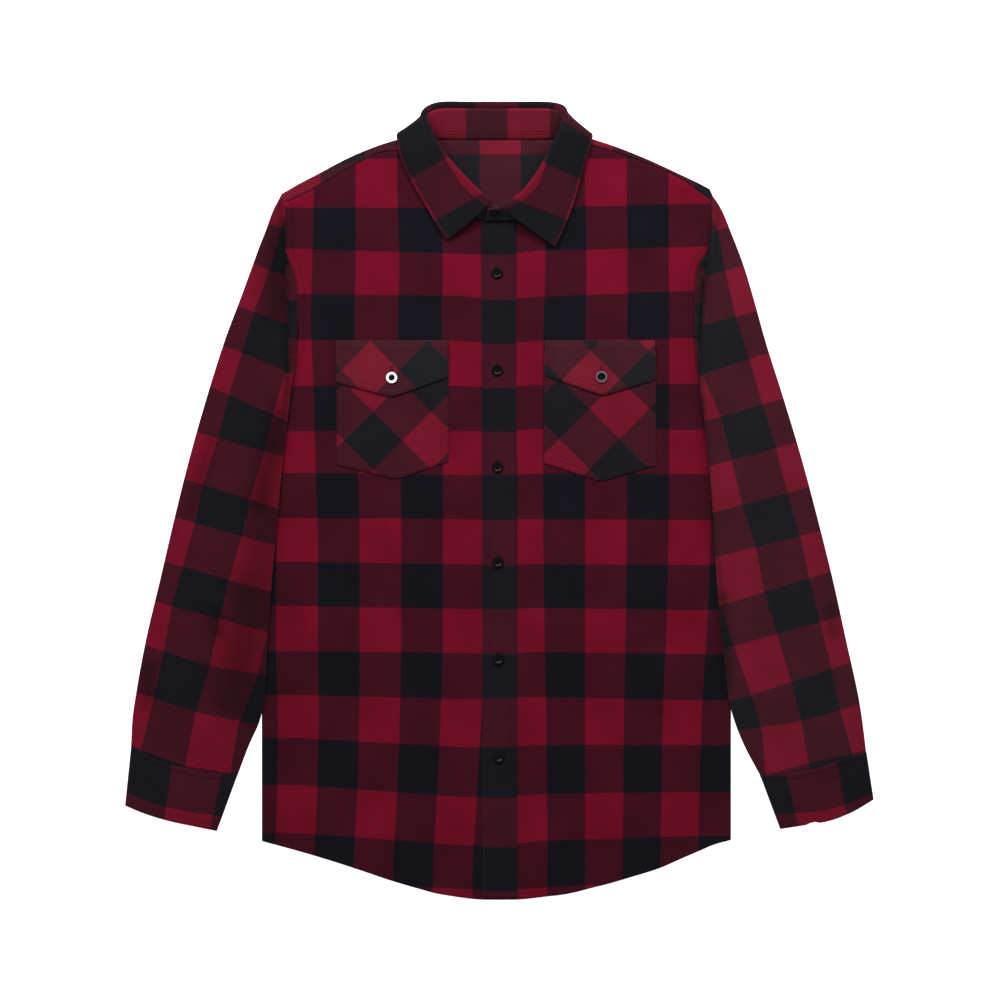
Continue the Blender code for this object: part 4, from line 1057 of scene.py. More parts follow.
def sleeve_floor(side, x, y):
    """The sleeve's underside: on the surface beside the body, and lifted where it lies over the body."""
    seam = min(y, UNDERARM_Y + 8.0)
    beside = (x - SIDE[side](seam)) * outward(side)
    above = max(0.0, y - seam)
    away = math.hypot(max(0.0, beside), above)
    start = 2.0 if above > 0 else SLEEVE_LAP
    raised = 1.0 - ease((away - start) / SLEEVE_RAMP)
    under = SIDE[side](seam) - outward(side) * max(0.5, -beside)
    return raised * (front_top_z(under, seam) + 2 * GAP)


def valley_depth(side, x, y):
    fade = ease((y - 60.0) / 60.0) * ease((314.0 - y) / 14.0)
    away = abs(x - VALLEYS[side](y))
    bank, bank_at, bank_width = BANK
    return fade * (VALLEY_DEPTH * bell(away, VALLEY_WIDTH[side]) - bank * bell(away - bank_at, bank_width))


def trough(side, x, y):
    """How much the front rises or falls beside the sleeve that lies on it."""
    inward = (INNER[side](y) - x) * outward(side)
    depth, width, at = TROUGH
    swell, swell_width, swell_at = SWELL
    fade = ease((150.0 - y) / 20.0) * ease((y + 225.0) / 30.0)
    return fade * (swell * bell(inward - swell_at, swell_width) - depth * bell(inward - at, width))


def crease_height(across, down):
    total = 0.0
    for start_down, start_across, end_down, end_across, width, height in SLEEVE_CREASES:
        total += ridge_height(
            across * SLEEVE_WIDTH, down * SLEEVE_LENGTH,
            start_across * SLEEVE_WIDTH, start_down * SLEEVE_LENGTH,
            end_across * SLEEVE_WIDTH, end_down * SLEEVE_LENGTH, width, height,
        )
    return total


def in_tuck_box(side, spot):
    """Whether a point lies near the tuck, whichever side of it."""
    high, low = TUCK[side][:2]
    beside = abs(spot.x) < abs(high[0]) + TUCK_NEAR_X
    return low[1] - TUCK_NEAR_Y < spot.y < high[1] + TUCK_NEAR_Y and beside


def sleeve(side):
    def place(ring_stop, down):
        layer, stop = ring_stop
        outer_point = sleeve_plan(side, 0.0, down)
        inner_point = sleeve_plan(side, 1.0, down)
        width = math.dist(outer_point, inner_point)
        across = across_share(stop, width)
        x, y = sleeve_plan(side, across, down)
        floor = sleeve_floor(side, x, y)
        from_fold = min(across, 1.0 - across) * width
        turn = TURN_HEIGHT / 2
        reach = min(from_fold / turn, 1.0)
        roundness = math.sqrt(1.0 - (1.0 - reach) ** 2)
        if down < 0.012:
            roundness = lerp(1.0, roundness, down / 0.012)
        if layer == "under":
            tucked = 0.4 * ease((down - 0.985) / 0.01)
            return x, y, floor + turn * (1.0 - roundness) + tucked
        hollow = lerp(lerp(HOLLOW_HEAD, HOLLOW, ease(down / 0.1)), WRIST_PUFF, ease((down - 0.85) / 0.15))
        full = lerp(TURN_HEIGHT, 2 * SLEEVE_WALL + hollow, ease(from_fold / 14.0))
        head = math.dist((x, y), head_line(side, across))
        wrist = math.dist((x, y), CUFF_LINES[side, "top"](across))
        lift = crease_height(across, down) * ease(from_fold / 8.0)
        dip = rounded_off(head, *HEAD_ROLL) * ease((310.0 - y) / 10.0) + rounded_off(wrist, *WRIST_ROLL)
        dip += valley_depth(side, x, y) * ease(from_fold / 3.0)
        return x, y, floor + turn + (full - turn) * roundness + lift - dip

    def check(ring_stop, down, point, middle, centre):
        warp, weft = sleeve_check(side, point[0], point[1])
        if middle[0] < UNDER_COUNT:
            edge = sleeve_plan(side, 0.0, down)
            warp = 2.0 * sleeve_check(side, edge[0], edge[1])[0] - warp
        return warp, weft

    def step_check(bm, layer):
        """Cuts the mesh along the tuck, where the check steps."""
        high, low, stripe_y = TUCK[side]
        cut = Vector((*high, 0.0))
        run = Vector((*low, 0.0)) - cut
        aside = run.cross(Vector((0.0, 0.0, 1.0))) * outward(side)
        for spot, facing in ((cut, aside), (Vector((*low, 0.0)), Vector((0.0, 1.0, 0.0)))):
            near = [face for face in bm.faces if in_tuck_box(side, face.calc_center_median() / MM)]
            edges = [edge for face in near for edge in face.edges]
            verts = [vert for face in near for vert in face.verts]
            parts = {*near, *edges, *verts}
            bmesh.ops.bisect_plane(bm, geom=list(parts), dist=1e-7, plane_co=spot * MM, plane_no=facing)
        for face in bm.faces:
            centre = face.calc_center_median() / MM
            if in_tuck_box(side, centre) and centre.y > low[1] and (centre - cut).dot(aside) > 0:
                for loop in face.loops:
                    loop[layer].uv = (1.5, 1.0 + (stripe_y - loop.vert.co.y / MM) / TUCK_STRIPE)

    rows = [0.0, 0.0015, 0.004, 0.008] + [0.01 + 0.05 * t for t in spaced(25)]
    rows += [0.06 + 0.93 * t for t in spaced(107)[1:]]
    rows += [0.994, 0.997, 0.999, 1.0]
    nap = painted_tones(side, 1.0)
    return cloth("sleeve_" + side, RING, rows, place, check, SLEEVE_WALL, nap, grows=-1, refine=step_check)


def cuff(side):
    top_line = CUFF_LINES[side, "top"]
    end_line = CUFF_LINES[side, "end"]
    (out0, out1), (in0, in1), (low0, low1) = CUFF_CHECK[side]

    def place(ring_stop, down):
        layer, stop = ring_stop
        width = math.dist(top_line(0.0), top_line(1.0))
        across = across_share(stop, width)
        top = top_line(across)
        end = end_line(across)
        x = lerp(top[0], end[0], down)
        y = lerp(top[1], end[1], down)
        if side == "left":
            nick_x, nick_width, nick = CUFF_NICK
            y += nick * bell(x - nick_x, nick_width) * ease((down - 0.8) / 0.2)
        length = math.dist(top, end)
        from_fold = min(across, 1.0 - across) * width
        turn = CUFF_TURN / 2
        reach = min(from_fold / turn, 1.0)
        roundness = math.sqrt(1.0 - (1.0 - reach) ** 2)
        if layer == "under":
            return x, y, turn * (1.0 - roundness)
        full = lerp(CUFF_TURN, CUFF_HEIGHT, ease(from_fold / 16.0))
        from_top = down * length
        from_end = (1.0 - down) * length
        z = turn + (full - turn) * roundness
        z -= 0.28 * (bell(from_top - 5.8, 0.9) + bell(from_end - 5.8, 0.9)) * ease(from_fold / 4.0)
        z -= rounded_off(from_top, *CUFF_TOP_ROLL) + rounded_off(from_end, *CUFF_END_ROLL)
        z += 0.25 * math.sin(x * 0.19 + y * 0.07) * ease(from_fold / 8.0)
        return x, y, z

    def check(ring_stop, down, point, middle, centre):
        layer, stop = ring_stop
        across = across_share(stop, math.dist(top_line(0.0), top_line(1.0)))
        first = lerp(out0, out1, down)
        second = lerp(in0, in1, down)
        low = lerp(low0, low1, across)
        return 2.0 + (across - first) / (second - first), 1.0 + down / low

    rows = [0.0, 0.008, 0.02, 0.04, 0.065, 0.08, 0.092, 0.105, 0.125]
    rows += [0.125 + 0.75 * t for t in spaced(12)[1:]]
    rows += [1.0 - row for row in reversed(rows[:8])]
    return cloth("cuff_" + side, RING, rows, place, check, CUFF_WALL, painted_tones("cuff"), grows=-1)


# ---------------------------------------------------------------- collar

SEAMS = [row[0] for row in COLLAR]
TOPS = [row[1] for row in COLLAR]
EDGES = [row[2] for row in COLLAR[LEAF_SPAN[0]:LEAF_SPAN[1] + 1]]


def smooth_path(points, t):
    """A point along a smooth curve through the points. t counts them, and may lie between two."""
    last = len(points) - 1
    i = max(0, min(int(t), last - 1))
    u = t - i
    p0, p1, p2, p3 = (Vector(points[max(0, min(last, i + k))]) for k in (-1, 0, 1, 2))
    return 0.5 * (
        2 * p1 + (p2 - p0) * u + (2 * p0 - 5 * p1 + 4 * p2 - p3) * u ** 2
        + (3 * p1 - p0 - 3 * p2 + p3) * u ** 3
    )


def stand_point(t, row):
    return smooth_path(SEAMS, t).lerp(smooth_path(TOPS, t), row)


def stand_normal(t, row):
    step = 0.1
    along = stand_point(t + step, row) - stand_point(t - step, row)
    up = along.cross(stand_point(t, row + step) - stand_point(t, row - step)).normalized()
    return -up if up.z < 0 else up


def collar_stand():
    along = [i / 6 for i in range(6 * (len(COLLAR) - 1) + 1)]

    def place(t, row):
        return stand_point(t, row)

    def check(t, row, point, middle, centre):
        if t < 2.0 or t > 18.4:
            return (1.5 if row < 0.82 else 0.5), 1.5
        if t < 6.9 or t > 14.2:
            return 0.5, 0.5
        return 1.0 + (point[0] - -34.5) / (CHECK + 0.6), 0.5

    # The stand's colour is made brighter by painted light.
    nap = painted_tones("stand", painted_shade=STAND_PAINTED_LIGHT)
    return cloth("collar_stand", along, spaced(12), place, check, DOUBLE, nap, grows=0)


def collar_leaf():
    """The fall: up from the stand, over the roll, and down outside to its edge."""
    first, last = LEAF_SPAN
    seams = SEAMS[first:last + 1]
    tops = TOPS[first:last + 1]
    along = [i / 8 for i in range(8 * (len(tops) - 1) + 1)]
    rows = [0.0, 0.5] + [1.0 + t for t in spaced(8)]
    rows += [2.0 + t for t in spaced(14)[1:-1]] + [2.945, 2.965, 2.985, 3.0]

    def place(t, row):
        top = smooth_path(tops, t)
        step = 0.05
        ahead = smooth_path(tops, min(t + step, along[-1]))
        behind = smooth_path(tops, max(t - step, 0.0))
        up = (top - smooth_path(seams, t)).normalized()
        across = (ahead - behind).normalized().cross(up)
        out = -across.normalized()
        start = top + up * LEAF_START / across.length
        crest = top + up * lerp(ROLL_END_RISE, ROLL_RISE, ease((along[-1] - t) / 2.0)) / across.length
        if row <= 1.0:
            return start.lerp(crest, row)
        centre = crest + out * ROLL_RADIUS
        if row <= 2.0:
            angle = math.pi * (row - 1.0)
            return centre - out * ROLL_RADIUS * math.cos(angle) + up * ROLL_RADIUS * math.sin(angle)
        fall = row - 2.0
        start = centre + out * ROLL_RADIUS
        edge = smooth_path(EDGES, t)
        from_back = max(0.0, BACK_SPAN[0] - t, t - BACK_SPAN[1])
        bend = start - up * (edge - start).length * lerp(BACK_BEND, SIDE_BEND, ease(from_back / 1.5))
        return start.lerp(bend, fall).lerp(bend.lerp(edge, fall), fall)

    def check(t, row, point, middle, centre):
        x, y = point[0], point[1]
        from_edge = (Vector(point) - smooth_path(EDGES, t)).length if row > 1.0 else 60.0
        reach = (smooth_path(tops, t) - smooth_path(EDGES, t)).length
        warp = 1.0 + (from_edge - LEAF_STRIP) / (max(LEAF_SECOND, reach - LEAF_INNER) - LEAF_STRIP)
        t_face = middle[0] / 8
        if t_face < 6.2:
            weft = weft_stripe(LEAF_WEFT["right"], x, y, 4)[0]
            return warp, 4.0 + (weft - 4.0) * LEAF_STRETCH if weft < 4.0 else weft
        if t_face > 11.3:
            return warp, weft_stripe(LEAF_WEFT["left"], x, y, 5)[0]
        return (1.5 if row > 0.5 else 0.5), 2.0 + (x - -25.0) / (CHECK + 2.0)

    return cloth("collar_leaf", along, rows, place, check, LEAF, painted_tones("leaf"), grows=0)


# ---------------------------------------------------------------- pockets and flaps

EDGE_STOPS = (0.0, 0.3, 0.8, 1.6, 3.0, 4.6, 5.6, 6.4, 7.2, 8.4)


def pointed(x, x0, y0, point_x, point_y, x1, y1):
    """An edge of two runs that meet at a softened point."""
    if x < point_x:
        y = lerp(y0, point_y, (x - x0) / (point_x - x0))
    else:
        y = lerp(point_y, y1, (x - point_x) / (x1 - point_x))
    return y + 0.7 * bell(x - point_x, 2.5)


def edged(start, end, count):
    """Stops from start to end, close together near both."""
    middle = [lerp(start + EDGE_STOPS[-1], end - EDGE_STOPS[-1], t) for t in spaced(count)[1:-1]]
    return [start + stop for stop in EDGE_STOPS] + middle + [end - stop for stop in reversed(EDGE_STOPS)]


def patch_relief(x, y, x0, x1, low):
    """The pressed-in allowance and its two rows of stitching, and the rounded edge."""
    from_edge = min(x - x0, x1 - x, y - low)
    relief = band(from_edge, 6.8, 0.4) - 0.22 * bell(from_edge - 1.6, 0.6)
    return relief - rounded_off(from_edge, 1.2, 0.5)


def pocket(row):
    columns = edged(row.x0, row.x1, 20)

    def place(x, stop):
        low = pointed(x, row.x0, row.corner0, row.point_x, row.point, row.x1, row.corner1)
        y = lerp(row.top, low + EDGE_STOPS[-1], stop) if stop >= 0 else low - stop - 1.0
        return x, y, front_top_z(x, y) + GAP + patch_relief(x, y, row.x0, row.x1, low)

    def check(x, stop, point, middle, centre):
        return bias_check(*BIAS[row.side][1], point[0], point[1])

    stops = spaced(24) + [-1.0 - stop for stop in reversed(EDGE_STOPS[:-1])]
    return cloth("pocket_" + row.side, columns, stops, place, check, CLOTH, painted_tones("pocket"))


def flap(row):
    x0 = row.flap_x0
    x1 = row.flap_x1
    columns = edged(x0, x1, 20)

    def place(x, stop):
        low = pointed(x, x0, row.flap0, row.flap_x, row.flap_point, x1, row.flap1)
        y = lerp(FLAP_TOP_Y, low + EDGE_STOPS[-1], stop) if stop >= 0 else low - stop - 1.0
        over_pocket = (CLOTH + GAP) * ease((FLAP_TOP_Y - y) / (FLAP_TOP_Y - FLAP_STEP_Y))
        z = front_top_z(x, y) + GAP + over_pocket + patch_relief(x, y, x0, x1, low)
        z += 0.5 * bell(x - row.flap_x, 30.0) * ease((FLAP_STEP_Y - y) / 30.0)
        return x, y, z - rounded_off(FLAP_TOP_Y - y, 1.2, 0.5)

    def check(x, stop, point, middle, centre):
        return bias_check(*BIAS[row.side][0], point[0], point[1])

    stops = [0.0, 0.01, 0.03, 0.06, 0.1, 0.14] + [0.14 + 0.86 * t for t in spaced(12)[1:]]
    stops += [-1.0 - stop for stop in reversed(EDGE_STOPS[:-1])]
    return cloth("flap_" + row.side, columns, stops, place, check, DOUBLE, painted_tones("flap"))


# ---------------------------------------------------------------- buttons

def button_mesh():
    """A dished four-hole button, its rim rounded, at the origin with its foot on Z = 0."""
    bm = bmesh.new()
    radius = BUTTON_RADIUS * MM
    bmesh.ops.create_cone(
        bm, cap_ends=True, segments=40, radius1=radius, radius2=radius, depth=BUTTON_HEIGHT * MM,
    )
    bmesh.ops.translate(bm, verts=bm.verts, vec=(0.0, 0.0, BUTTON_HEIGHT / 2 * MM))
    edges = [edge for edge in bm.edges if abs(edge.verts[0].co.z - edge.verts[1].co.z) < 1e-9]
    bmesh.ops.bevel(bm, geom=edges, offset=0.55 * MM, segments=3, affect="EDGES", profile=0.5, material=-1)
    bm.normal_update()
    face = max(bm.faces, key=lambda f: f.calc_center_median().z)
    for inset, rise in BUTTON_STEPS:
        bmesh.ops.inset_region(bm, faces=[face], thickness=inset * MM, depth=rise * MM)
    return bm


def hole_cutter():
    bm = bmesh.new()
    for turn in range(4):
        angle = math.pi / 2 * (turn + 0.5)
        made = bmesh.ops.create_cone(
            bm, cap_ends=True, segments=16, radius1=HOLE_RADIUS * MM, radius2=HOLE_RADIUS * MM,
            depth=3 * BUTTON_HEIGHT * MM,
        )
        reach = HOLE_OFFSET * math.sqrt(2) * MM
        aside = (reach * math.cos(angle), reach * math.sin(angle), 0.0)
        bmesh.ops.translate(bm, verts=made["verts"], vec=aside)
    return bm


def drilled_button():
    """The button with its holes cut, as one mesh for every button."""
    blank = place_piece("button_blank", button_mesh(), BLACK_BUTTON)
    cutter = place_piece("button_cutter", hole_cutter(), BLACK_BUTTON)
    cut = blank.modifiers.new("Holes", "BOOLEAN")
    cut.operation = "DIFFERENCE"
    cut.solver = "EXACT"
    cut.object = cutter
    drilled = bpy.data.meshes.new_from_object(blank.evaluated_get(bpy.context.evaluated_depsgraph_get()))
    bpy.data.objects.remove(blank)
    bpy.data.objects.remove(cutter)
    return drilled


def button(node, under, up, drilled, rim=None, rim_from=0.0):
    """One button on its spot. A rim, where it has one, is another colour from this radius outwards."""
    bm = bmesh.new()
    bm.from_mesh(drilled)
    for face in bm.faces:
        if rim and face.calc_center_median().xy.length > rim_from * MM:
            face.material_index = 1
    turn = up.to_track_quat("Z", "Y").to_matrix().to_4x4()
    single = bpy.data.meshes.new("button_thread_bar")
    bm.transform(Matrix.Translation((Vector(under) + up * GAP) * MM) @ turn)
    piece = place_piece(node + "_detailed", bm, BLACK_BUTTON)
    if rim:
        piece.data.materials.append(rim)
    piece.data.shade_flat()
    thread = bmesh.new()
    for turned in (1, -1):
        bar = stitch_shape(BUTTON_THREAD)
        bar.transform(Matrix.Rotation(turned * math.pi / 4, 4, "Z"))
        bar.to_mesh(single)
        bar.free()
        thread.from_mesh(single)
    thread.transform(Matrix.Translation((Vector(under) + up * (GAP + THREAD_HEIGHT)) * MM) @ turn)
    place_piece(node + "_thread", thread, THREAD)
    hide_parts(node)


def placket_button_spot(y):
    x = lerp(PLACKET_HEM_X, PLACKET_TOP_X, (y - HEM[5][1]) / (NECK_DEEP_Y - HEM[5][1])) - PLACKET_BUTTON_SHIFT
    return x, y, front_top_z(x, y) + GAP + DOUBLE + BUTTON_SHANK


def buttons():
    drilled = drilled_button()
    straight_up = Vector((0.0, 0.0, 1.0))
    for number, y in enumerate(PLACKET_BUTTON_Y, start=1):
        button(f"button_front_{number}", placket_button_spot(y), straight_up, drilled)
    up = stand_normal(*COLLAR_BUTTON)
    button("button_collar", stand_point(*COLLAR_BUTTON) + up * DOUBLE / 2, up, drilled)
    rims = {"right": (WHITE_RIM, WHITE_RIM_FROM), "left": (GREY_RIM, GREY_RIM_FROM)}
    for side, (x, y) in FLAP_BUTTONS.items():
        under = (x, y, front_top_z(x, y) + 2 * GAP + CLOTH + DOUBLE + FLAP_BUTTON_SHANK)
        button("button_pocket_" + side, under, straight_up, drilled, *rims[side])


# ---------------------------------------------------------------- stitching

STITCH = (2.2, 0.45, 0.4)      # length, width and height
STITCH_PITCH = 2.9
STITCH_LIFT = 0.1              # its middle's rise off the cloth, as a share of its height
ARM_INSETS = (1.2, 6.5)        # two rows beside an armhole
PATCH_INSETS = (1.5, 6.2)      # two round a pocket and a flap
LEAF_INSET = 5.5
BAR = (0.5, 1.7, 0.5)          # a buttonhole's bars, packed side by side
BAR_PITCH = 0.8
BUTTONHOLE = 15.0
FLAP_BUTTONHOLE = (12.5, -5.0)


def paced(line, pitch):
    """Spots along a run of points, a pitch apart, each with its heading."""
    spots = []
    left = pitch / 2
    for start, end in zip(line, line[1:]):
        start = Vector(start[:2])
        run = Vector(end[:2]) - start
        while left < run.length:
            spots.append((start + run.normalized() * left, run.normalized()))
            left += pitch
        left -= run.length
    return spots


def stitch_shape(size):
    """One rounded stitch of twenty faces."""
    bm = bmesh.new()
    bmesh.ops.create_icosphere(bm, subdivisions=1, radius=0.5)
    bmesh.ops.scale(bm, vec=Vector(size) * MM, verts=bm.verts)
    return bm


def sewn(name, cloth_piece, lines, size=STITCH, pitch=STITCH_PITCH):
    """Rows of stitches laid on a piece of cloth from above, as one mesh."""
    surface = BVHTree.FromObject(cloth_piece, bpy.context.evaluated_depsgraph_get())
    shape = bpy.data.meshes.new("stitch")
    single = stitch_shape(size)
    single.to_mesh(shape)
    single.free()
    bm = bmesh.new()
    for line in lines:
        row = bmesh.new()
        for spot, heading in paced(line, pitch):
            hit, normal = surface.ray_cast(Vector((*spot, 60.0)) * MM, Vector((0.0, 0.0, -1.0)))[:2]
            if hit is None or normal.z < 0.2:
                continue
            along = Vector((*heading, 0.0))
            along = (along - normal * along.dot(normal)).normalized()
            turn = Matrix((along, normal.cross(along), normal)).transposed().to_4x4()
            before = len(row.verts)
            row.from_mesh(shape)
            row.verts.ensure_lookup_table()
            laid = Matrix.Translation(hit + normal * size[2] * STITCH_LIFT * MM) @ turn
            bmesh.ops.transform(row, matrix=laid, verts=row.verts[before:])
        sewn_row = bpy.data.meshes.new("row")
        row.to_mesh(sewn_row)
        row.free()
        bm.from_mesh(sewn_row)
        bpy.data.meshes.remove(sewn_row)
    bpy.data.meshes.remove(shape)
    piece = place_piece(name, bm, THREAD)
    return piece


def arm_row(side, inset):
    ys = [lerp(304.0, 72.0, t) for t in spaced(40)]
    return [(SIDE[side](y) - outward(side) * inset, y) for y in ys]


def hem_row(side, rise):
    far = SIDE_X[side] - outward(side) * 2.0
    near = CENTRE_X + outward(side) * 2.0 if side == "left" else CENTRE_X - 28.0
    xs = [lerp(far, near, t) for t in spaced(30)]
    return [(x, HEM_LINE(x) + rise) for x in xs]


def seam_row(side, rise):
    far = abs(SIDE[side](SHOULDER_TIP_Y)) - 3.0
    xs = [outward(side) * lerp(NECK_HALF + 16.0, far, t) for t in spaced(16)]
    return [(x, seam_y(x) + rise) for x in xs]


def placket_row(offset):
    top = NECK_DEEP_Y - 3.0
    downs = [lerp(0.0, 0.995, t) for t in spaced(20)]
    return [
        (lerp(PLACKET_TOP_X, PLACKET_HEM_X, down) + offset, lerp(top, HEM_LINE(PLACKET_HEM_X), down))
        for down in downs
    ]


def patch_row(row, inset, top, flap_row):
    """Down one side of a pocket or flap, round its point and up the other side."""
    if flap_row:
        x0, x1, corner0, point_x, point, corner1 = row[8:]
    else:
        x0, x1 = row.x0, row.x1
        corner0, point_x, point, corner1 = row[4:8]
    line = [(x0 + inset, top)]
    line += [(x0 + inset, pointed(x0 + inset, x0, corner0, point_x, point, x1, corner1) + inset)]
    line += [(point_x, point + inset * 1.03)]
    line += [(x1 - inset, pointed(x1 - inset, x0, corner0, point_x, point, x1, corner1) + inset)]
    line += [(x1 - inset, top)]
    return line


def cuff_row(side, share):
    acrosses = [lerp(0.03, 0.97, t) for t in spaced(16)]
    line = []
    for across in acrosses:
        top = Vector(CUFF_LINES[side, "top"](across))
        end = Vector(CUFF_LINES[side, "end"](across))
        line.append(top.lerp(end, share))
    return line


def leaf_row(first, last, inset):
    """Along the leaf's outer edge, this far inside it."""
    ts = [lerp(first, last, t) for t in spaced(24)]
    tops = TOPS[LEAF_SPAN[0]:LEAF_SPAN[1] + 1]
    line = []
    for t in ts:
        edge = smooth_path(EDGES, t)
        line.append(edge.lerp(smooth_path(tops, t), inset / (edge - smooth_path(tops, t)).length).xy)
    return line


def leaf_front_row(end, inset):
    """Along the leaf's front edge, from near its fold to near its point."""
    tops = TOPS[LEAF_SPAN[0]:LEAF_SPAN[1] + 1]
    sign = -1 if end == 0 else 1
    fold = Vector(tops[end][:2])
    point = Vector(EDGES[end][:2])
    run = (point - fold).normalized()
    aside = Vector((run.y, -run.x)) * sign
    return [fold + run * 4.0 + aside * inset, point - run * inset + aside * inset]


def stand_row(row):
    return [stand_point(lerp(7.4, 12.6, t), row).xy for t in spaced(20)]


def stitching(pieces):
    """Every sewn row that shows, and the buttonholes."""
    made = {}

    def sew(name, rows):
        made[name] = [sewn(name + "_stitching", pieces[name], rows)]

    for side in ("right", "left"):
        sew("front_" + side, [arm_row(side, inset) for inset in ARM_INSETS] + [hem_row(side, 5.4)])
        sew("cuff_" + side, [cuff_row(side, share) for share in (0.03, 0.1, 0.9, 0.97)])
    sew("yoke", [seam_row("right", 2.2), seam_row("left", 2.2)])
    sew("placket", [placket_row(-10.8), placket_row(10.8)])
    for row in POCKETS:
        sew("pocket_" + row.side, [patch_row(row, inset, row.top - 8.0, False) for inset in PATCH_INSETS])
        rows = [patch_row(row, inset, FLAP_TOP_Y - 1.0, True) for inset in PATCH_INSETS]
        for drop in PATCH_INSETS:
            rows.append([(row.flap_x0, FLAP_TOP_Y - drop), (row.flap_x1, FLAP_TOP_Y - drop)])
        sew("flap_" + row.side, rows)
    rows = [leaf_row(0.3, 5.9, LEAF_INSET), leaf_row(12.1, 17.7, LEAF_INSET)]
    sew("collar_leaf", rows + [leaf_front_row(0, LEAF_INSET), leaf_front_row(-1, LEAF_INSET)])
    sew("collar_stand", [stand_row(share) for share in (0.08, 0.16, 0.25)])
    buttonholes(pieces, made)
    return made


def buttonhole(x, high, low):
    return [[(x - 0.9, high), (x - 0.9, low)], [(x + 0.9, high), (x + 0.9, low)]]


def buttonholes(pieces, made):
    lines = []
    for y in PLACKET_BUTTON_Y:
        lines += buttonhole(placket_button_spot(y)[0], y + BUTTONHOLE / 2, y - BUTTONHOLE / 2)
    made["placket"].append(sewn("placket_buttonholes", pieces["placket"], lines, BAR, BAR_PITCH))
    for side, (x, y) in FLAP_BUTTONS.items():
        lines = buttonhole(x, y + FLAP_BUTTONHOLE[0], y + FLAP_BUTTONHOLE[1])
        worked = sewn(f"flap_{side}_buttonhole", pieces["flap_" + side], lines, BAR, BAR_PITCH)
        made["flap_" + side].append(worked)


# ---------------------------------------------------------------- stage

# Soft boxes: a far one up on the left, and a near one past the collar. Place, size and power.
SOFT_BOXES = (
    ("soft_box_key", (-1.9, 2.4, 3.2), (1.3, 1.3), 131.0),
    ("soft_box_top", (0.35, 1.15, 1.15), (1.0, 0.5), 19.5),
)


def stage():
    bm = bmesh.new()
    bmesh.ops.create_grid(bm, x_segments=1, y_segments=1, size=6.0)
    floor = bpy.data.objects.new("paper_sweep", bpy.data.meshes.new("paper_sweep"))
    bmesh.ops.translate(bm, verts=bm.verts, vec=(0.0, 0.0, -0.0006))
    bm.to_mesh(floor.data)
    bm.free()
    floor.data.materials.append(studio_floor())
    bpy.context.scene.collection.objects.link(floor)

    world = bpy.data.worlds.new("soft_room")
    world.use_nodes = True
    world.node_tree.nodes["Background"].inputs["Color"].default_value = (1.0, 1.0, 1.0, 1.0)
    world.node_tree.nodes["Background"].inputs["Strength"].default_value = 0.445
    bpy.context.scene.world = world
    bpy.context.scene.view_settings.view_transform = "Standard"

    for name, place, size, power in SOFT_BOXES:
        lamp = bpy.data.lights.new(name, "AREA")
        lamp.shape = "RECTANGLE"
        lamp.size, lamp.size_y = size
        lamp.energy = power
        box = bpy.data.objects.new(name, lamp)
        box.location = place
        box.rotation_euler = (-box.location).to_track_quat("-Z", "Y").to_euler()
        box.visible_camera = False
        bpy.context.scene.collection.objects.link(box)


CAMERA_HEIGHT = 10.0
FRAME_WIDTH = 1.03


def camera():
    """Straight above, far enough away that the raised collar isn't enlarged."""
    lens = bpy.data.cameras.new("camera")
    lens.sensor_width = 36.0
    lens.lens = lens.sensor_width * CAMERA_HEIGHT / FRAME_WIDTH
    lens.clip_end = 100.0
    made = bpy.data.objects.new("camera", lens)
    made.location = (0.0007, -0.0003, CAMERA_HEIGHT)
    bpy.context.scene.collection.objects.link(made)
    bpy.context.scene.camera = made


# ---------------------------------------------------------------- the shirt

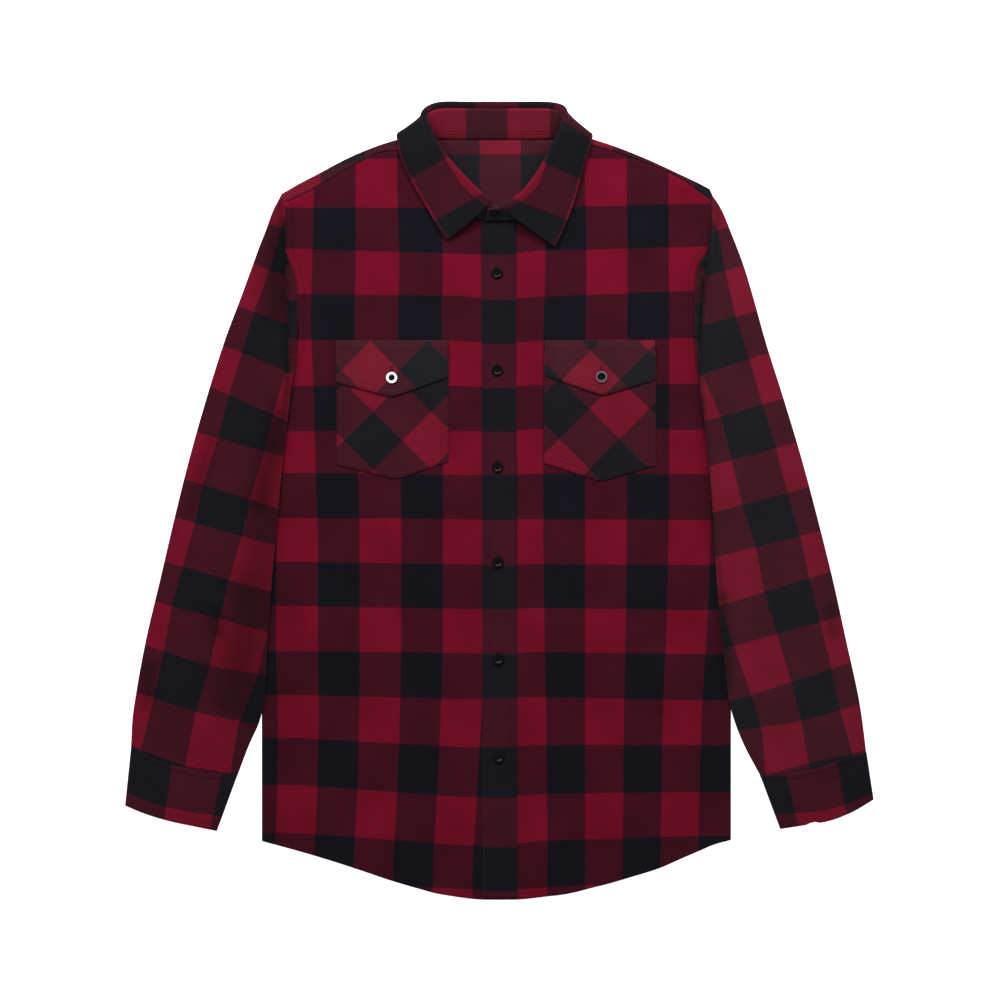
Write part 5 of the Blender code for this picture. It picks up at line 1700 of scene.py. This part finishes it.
# Each piece of cloth: its cut's width, length and area, how it is held, what it lies on, and its colour slot.
Cut = namedtuple("Cut", "width length area held rests_on slot")
CUTS = {
    "back": Cut(0.478, 0.682, 0.302, "laid", [], "flannel"),
    "yoke": Cut(0.441, 0.126, 0.0412, "folded", ["back", "front_right", "front_left"], "flannel"),
    "yoke_lining": Cut(0.3, 0.099, 0.0231, "laid", ["yoke"], "folded_flannel"),
    "front_right": Cut(0.255, 0.773, 0.173, "laid", ["back"], "flannel"),
    "front_left": Cut(0.229, 0.778, 0.156, "laid", ["back"], "flannel"),
    "placket": Cut(0.0326, 0.697, None, "folded", ["front_left"], "folded_flannel"),
    "collar_stand": Cut(0.42, 0.034, 0.0126, "folded", ["front_right", "front_left"], "folded_flannel"),
    "collar_leaf": Cut(
        0.47, 0.063, 0.021, "folded", ["collar_stand", "front_right", "front_left"], "flannel",
    ),
    "sleeve_right": Cut(0.272, 0.6, 0.1113, "folded", ["front_right"], "flannel"),
    "sleeve_left": Cut(0.272, 0.602, 0.1137, "folded", ["front_left"], "flannel"),
    "cuff_right": Cut(0.226, 0.068, 0.0127, "folded", [], "folded_flannel"),
    "cuff_left": Cut(0.226, 0.062, 0.012, "folded", [], "folded_flannel"),
    "pocket_right": Cut(0.116, 0.131, 0.0141, "laid", ["front_right"], "flannel"),
    "pocket_left": Cut(0.116, 0.133, 0.0142, "laid", ["front_left"], "flannel"),
    "flap_right": Cut(0.116, 0.058, 0.0058, "folded", ["pocket_right"], "folded_flannel"),
    "flap_left": Cut(0.114, 0.056, 0.0056, "folded", ["pocket_left"], "folded_flannel"),
}


def shirt():
    pieces = {"back": back(), "yoke": yoke(), "yoke_lining": yoke_lining(), "placket": placket()}
    pieces["collar_stand"] = collar_stand()
    pieces["collar_leaf"] = collar_leaf()
    for side in ("right", "left"):
        pieces["front_" + side] = front(side)
        pieces["sleeve_" + side] = sleeve(side)
        pieces["cuff_" + side] = cuff(side)
    for row in POCKETS:
        pieces["pocket_" + row.side] = pocket(row)
        pieces["flap_" + row.side] = flap(row)
    return pieces


def declare(pieces, rows):
    """Looks up every sheet's cut and the pieces it rests on, and states nothing. The sewing it is given is
    not used.
    """
    for name, piece in pieces.items():
        cut = CUTS[name]
        [pieces[under] for under in cut.rests_on]


camera()
stage()
cloths = shirt()
buttons()
declare(cloths, stitching(cloths))
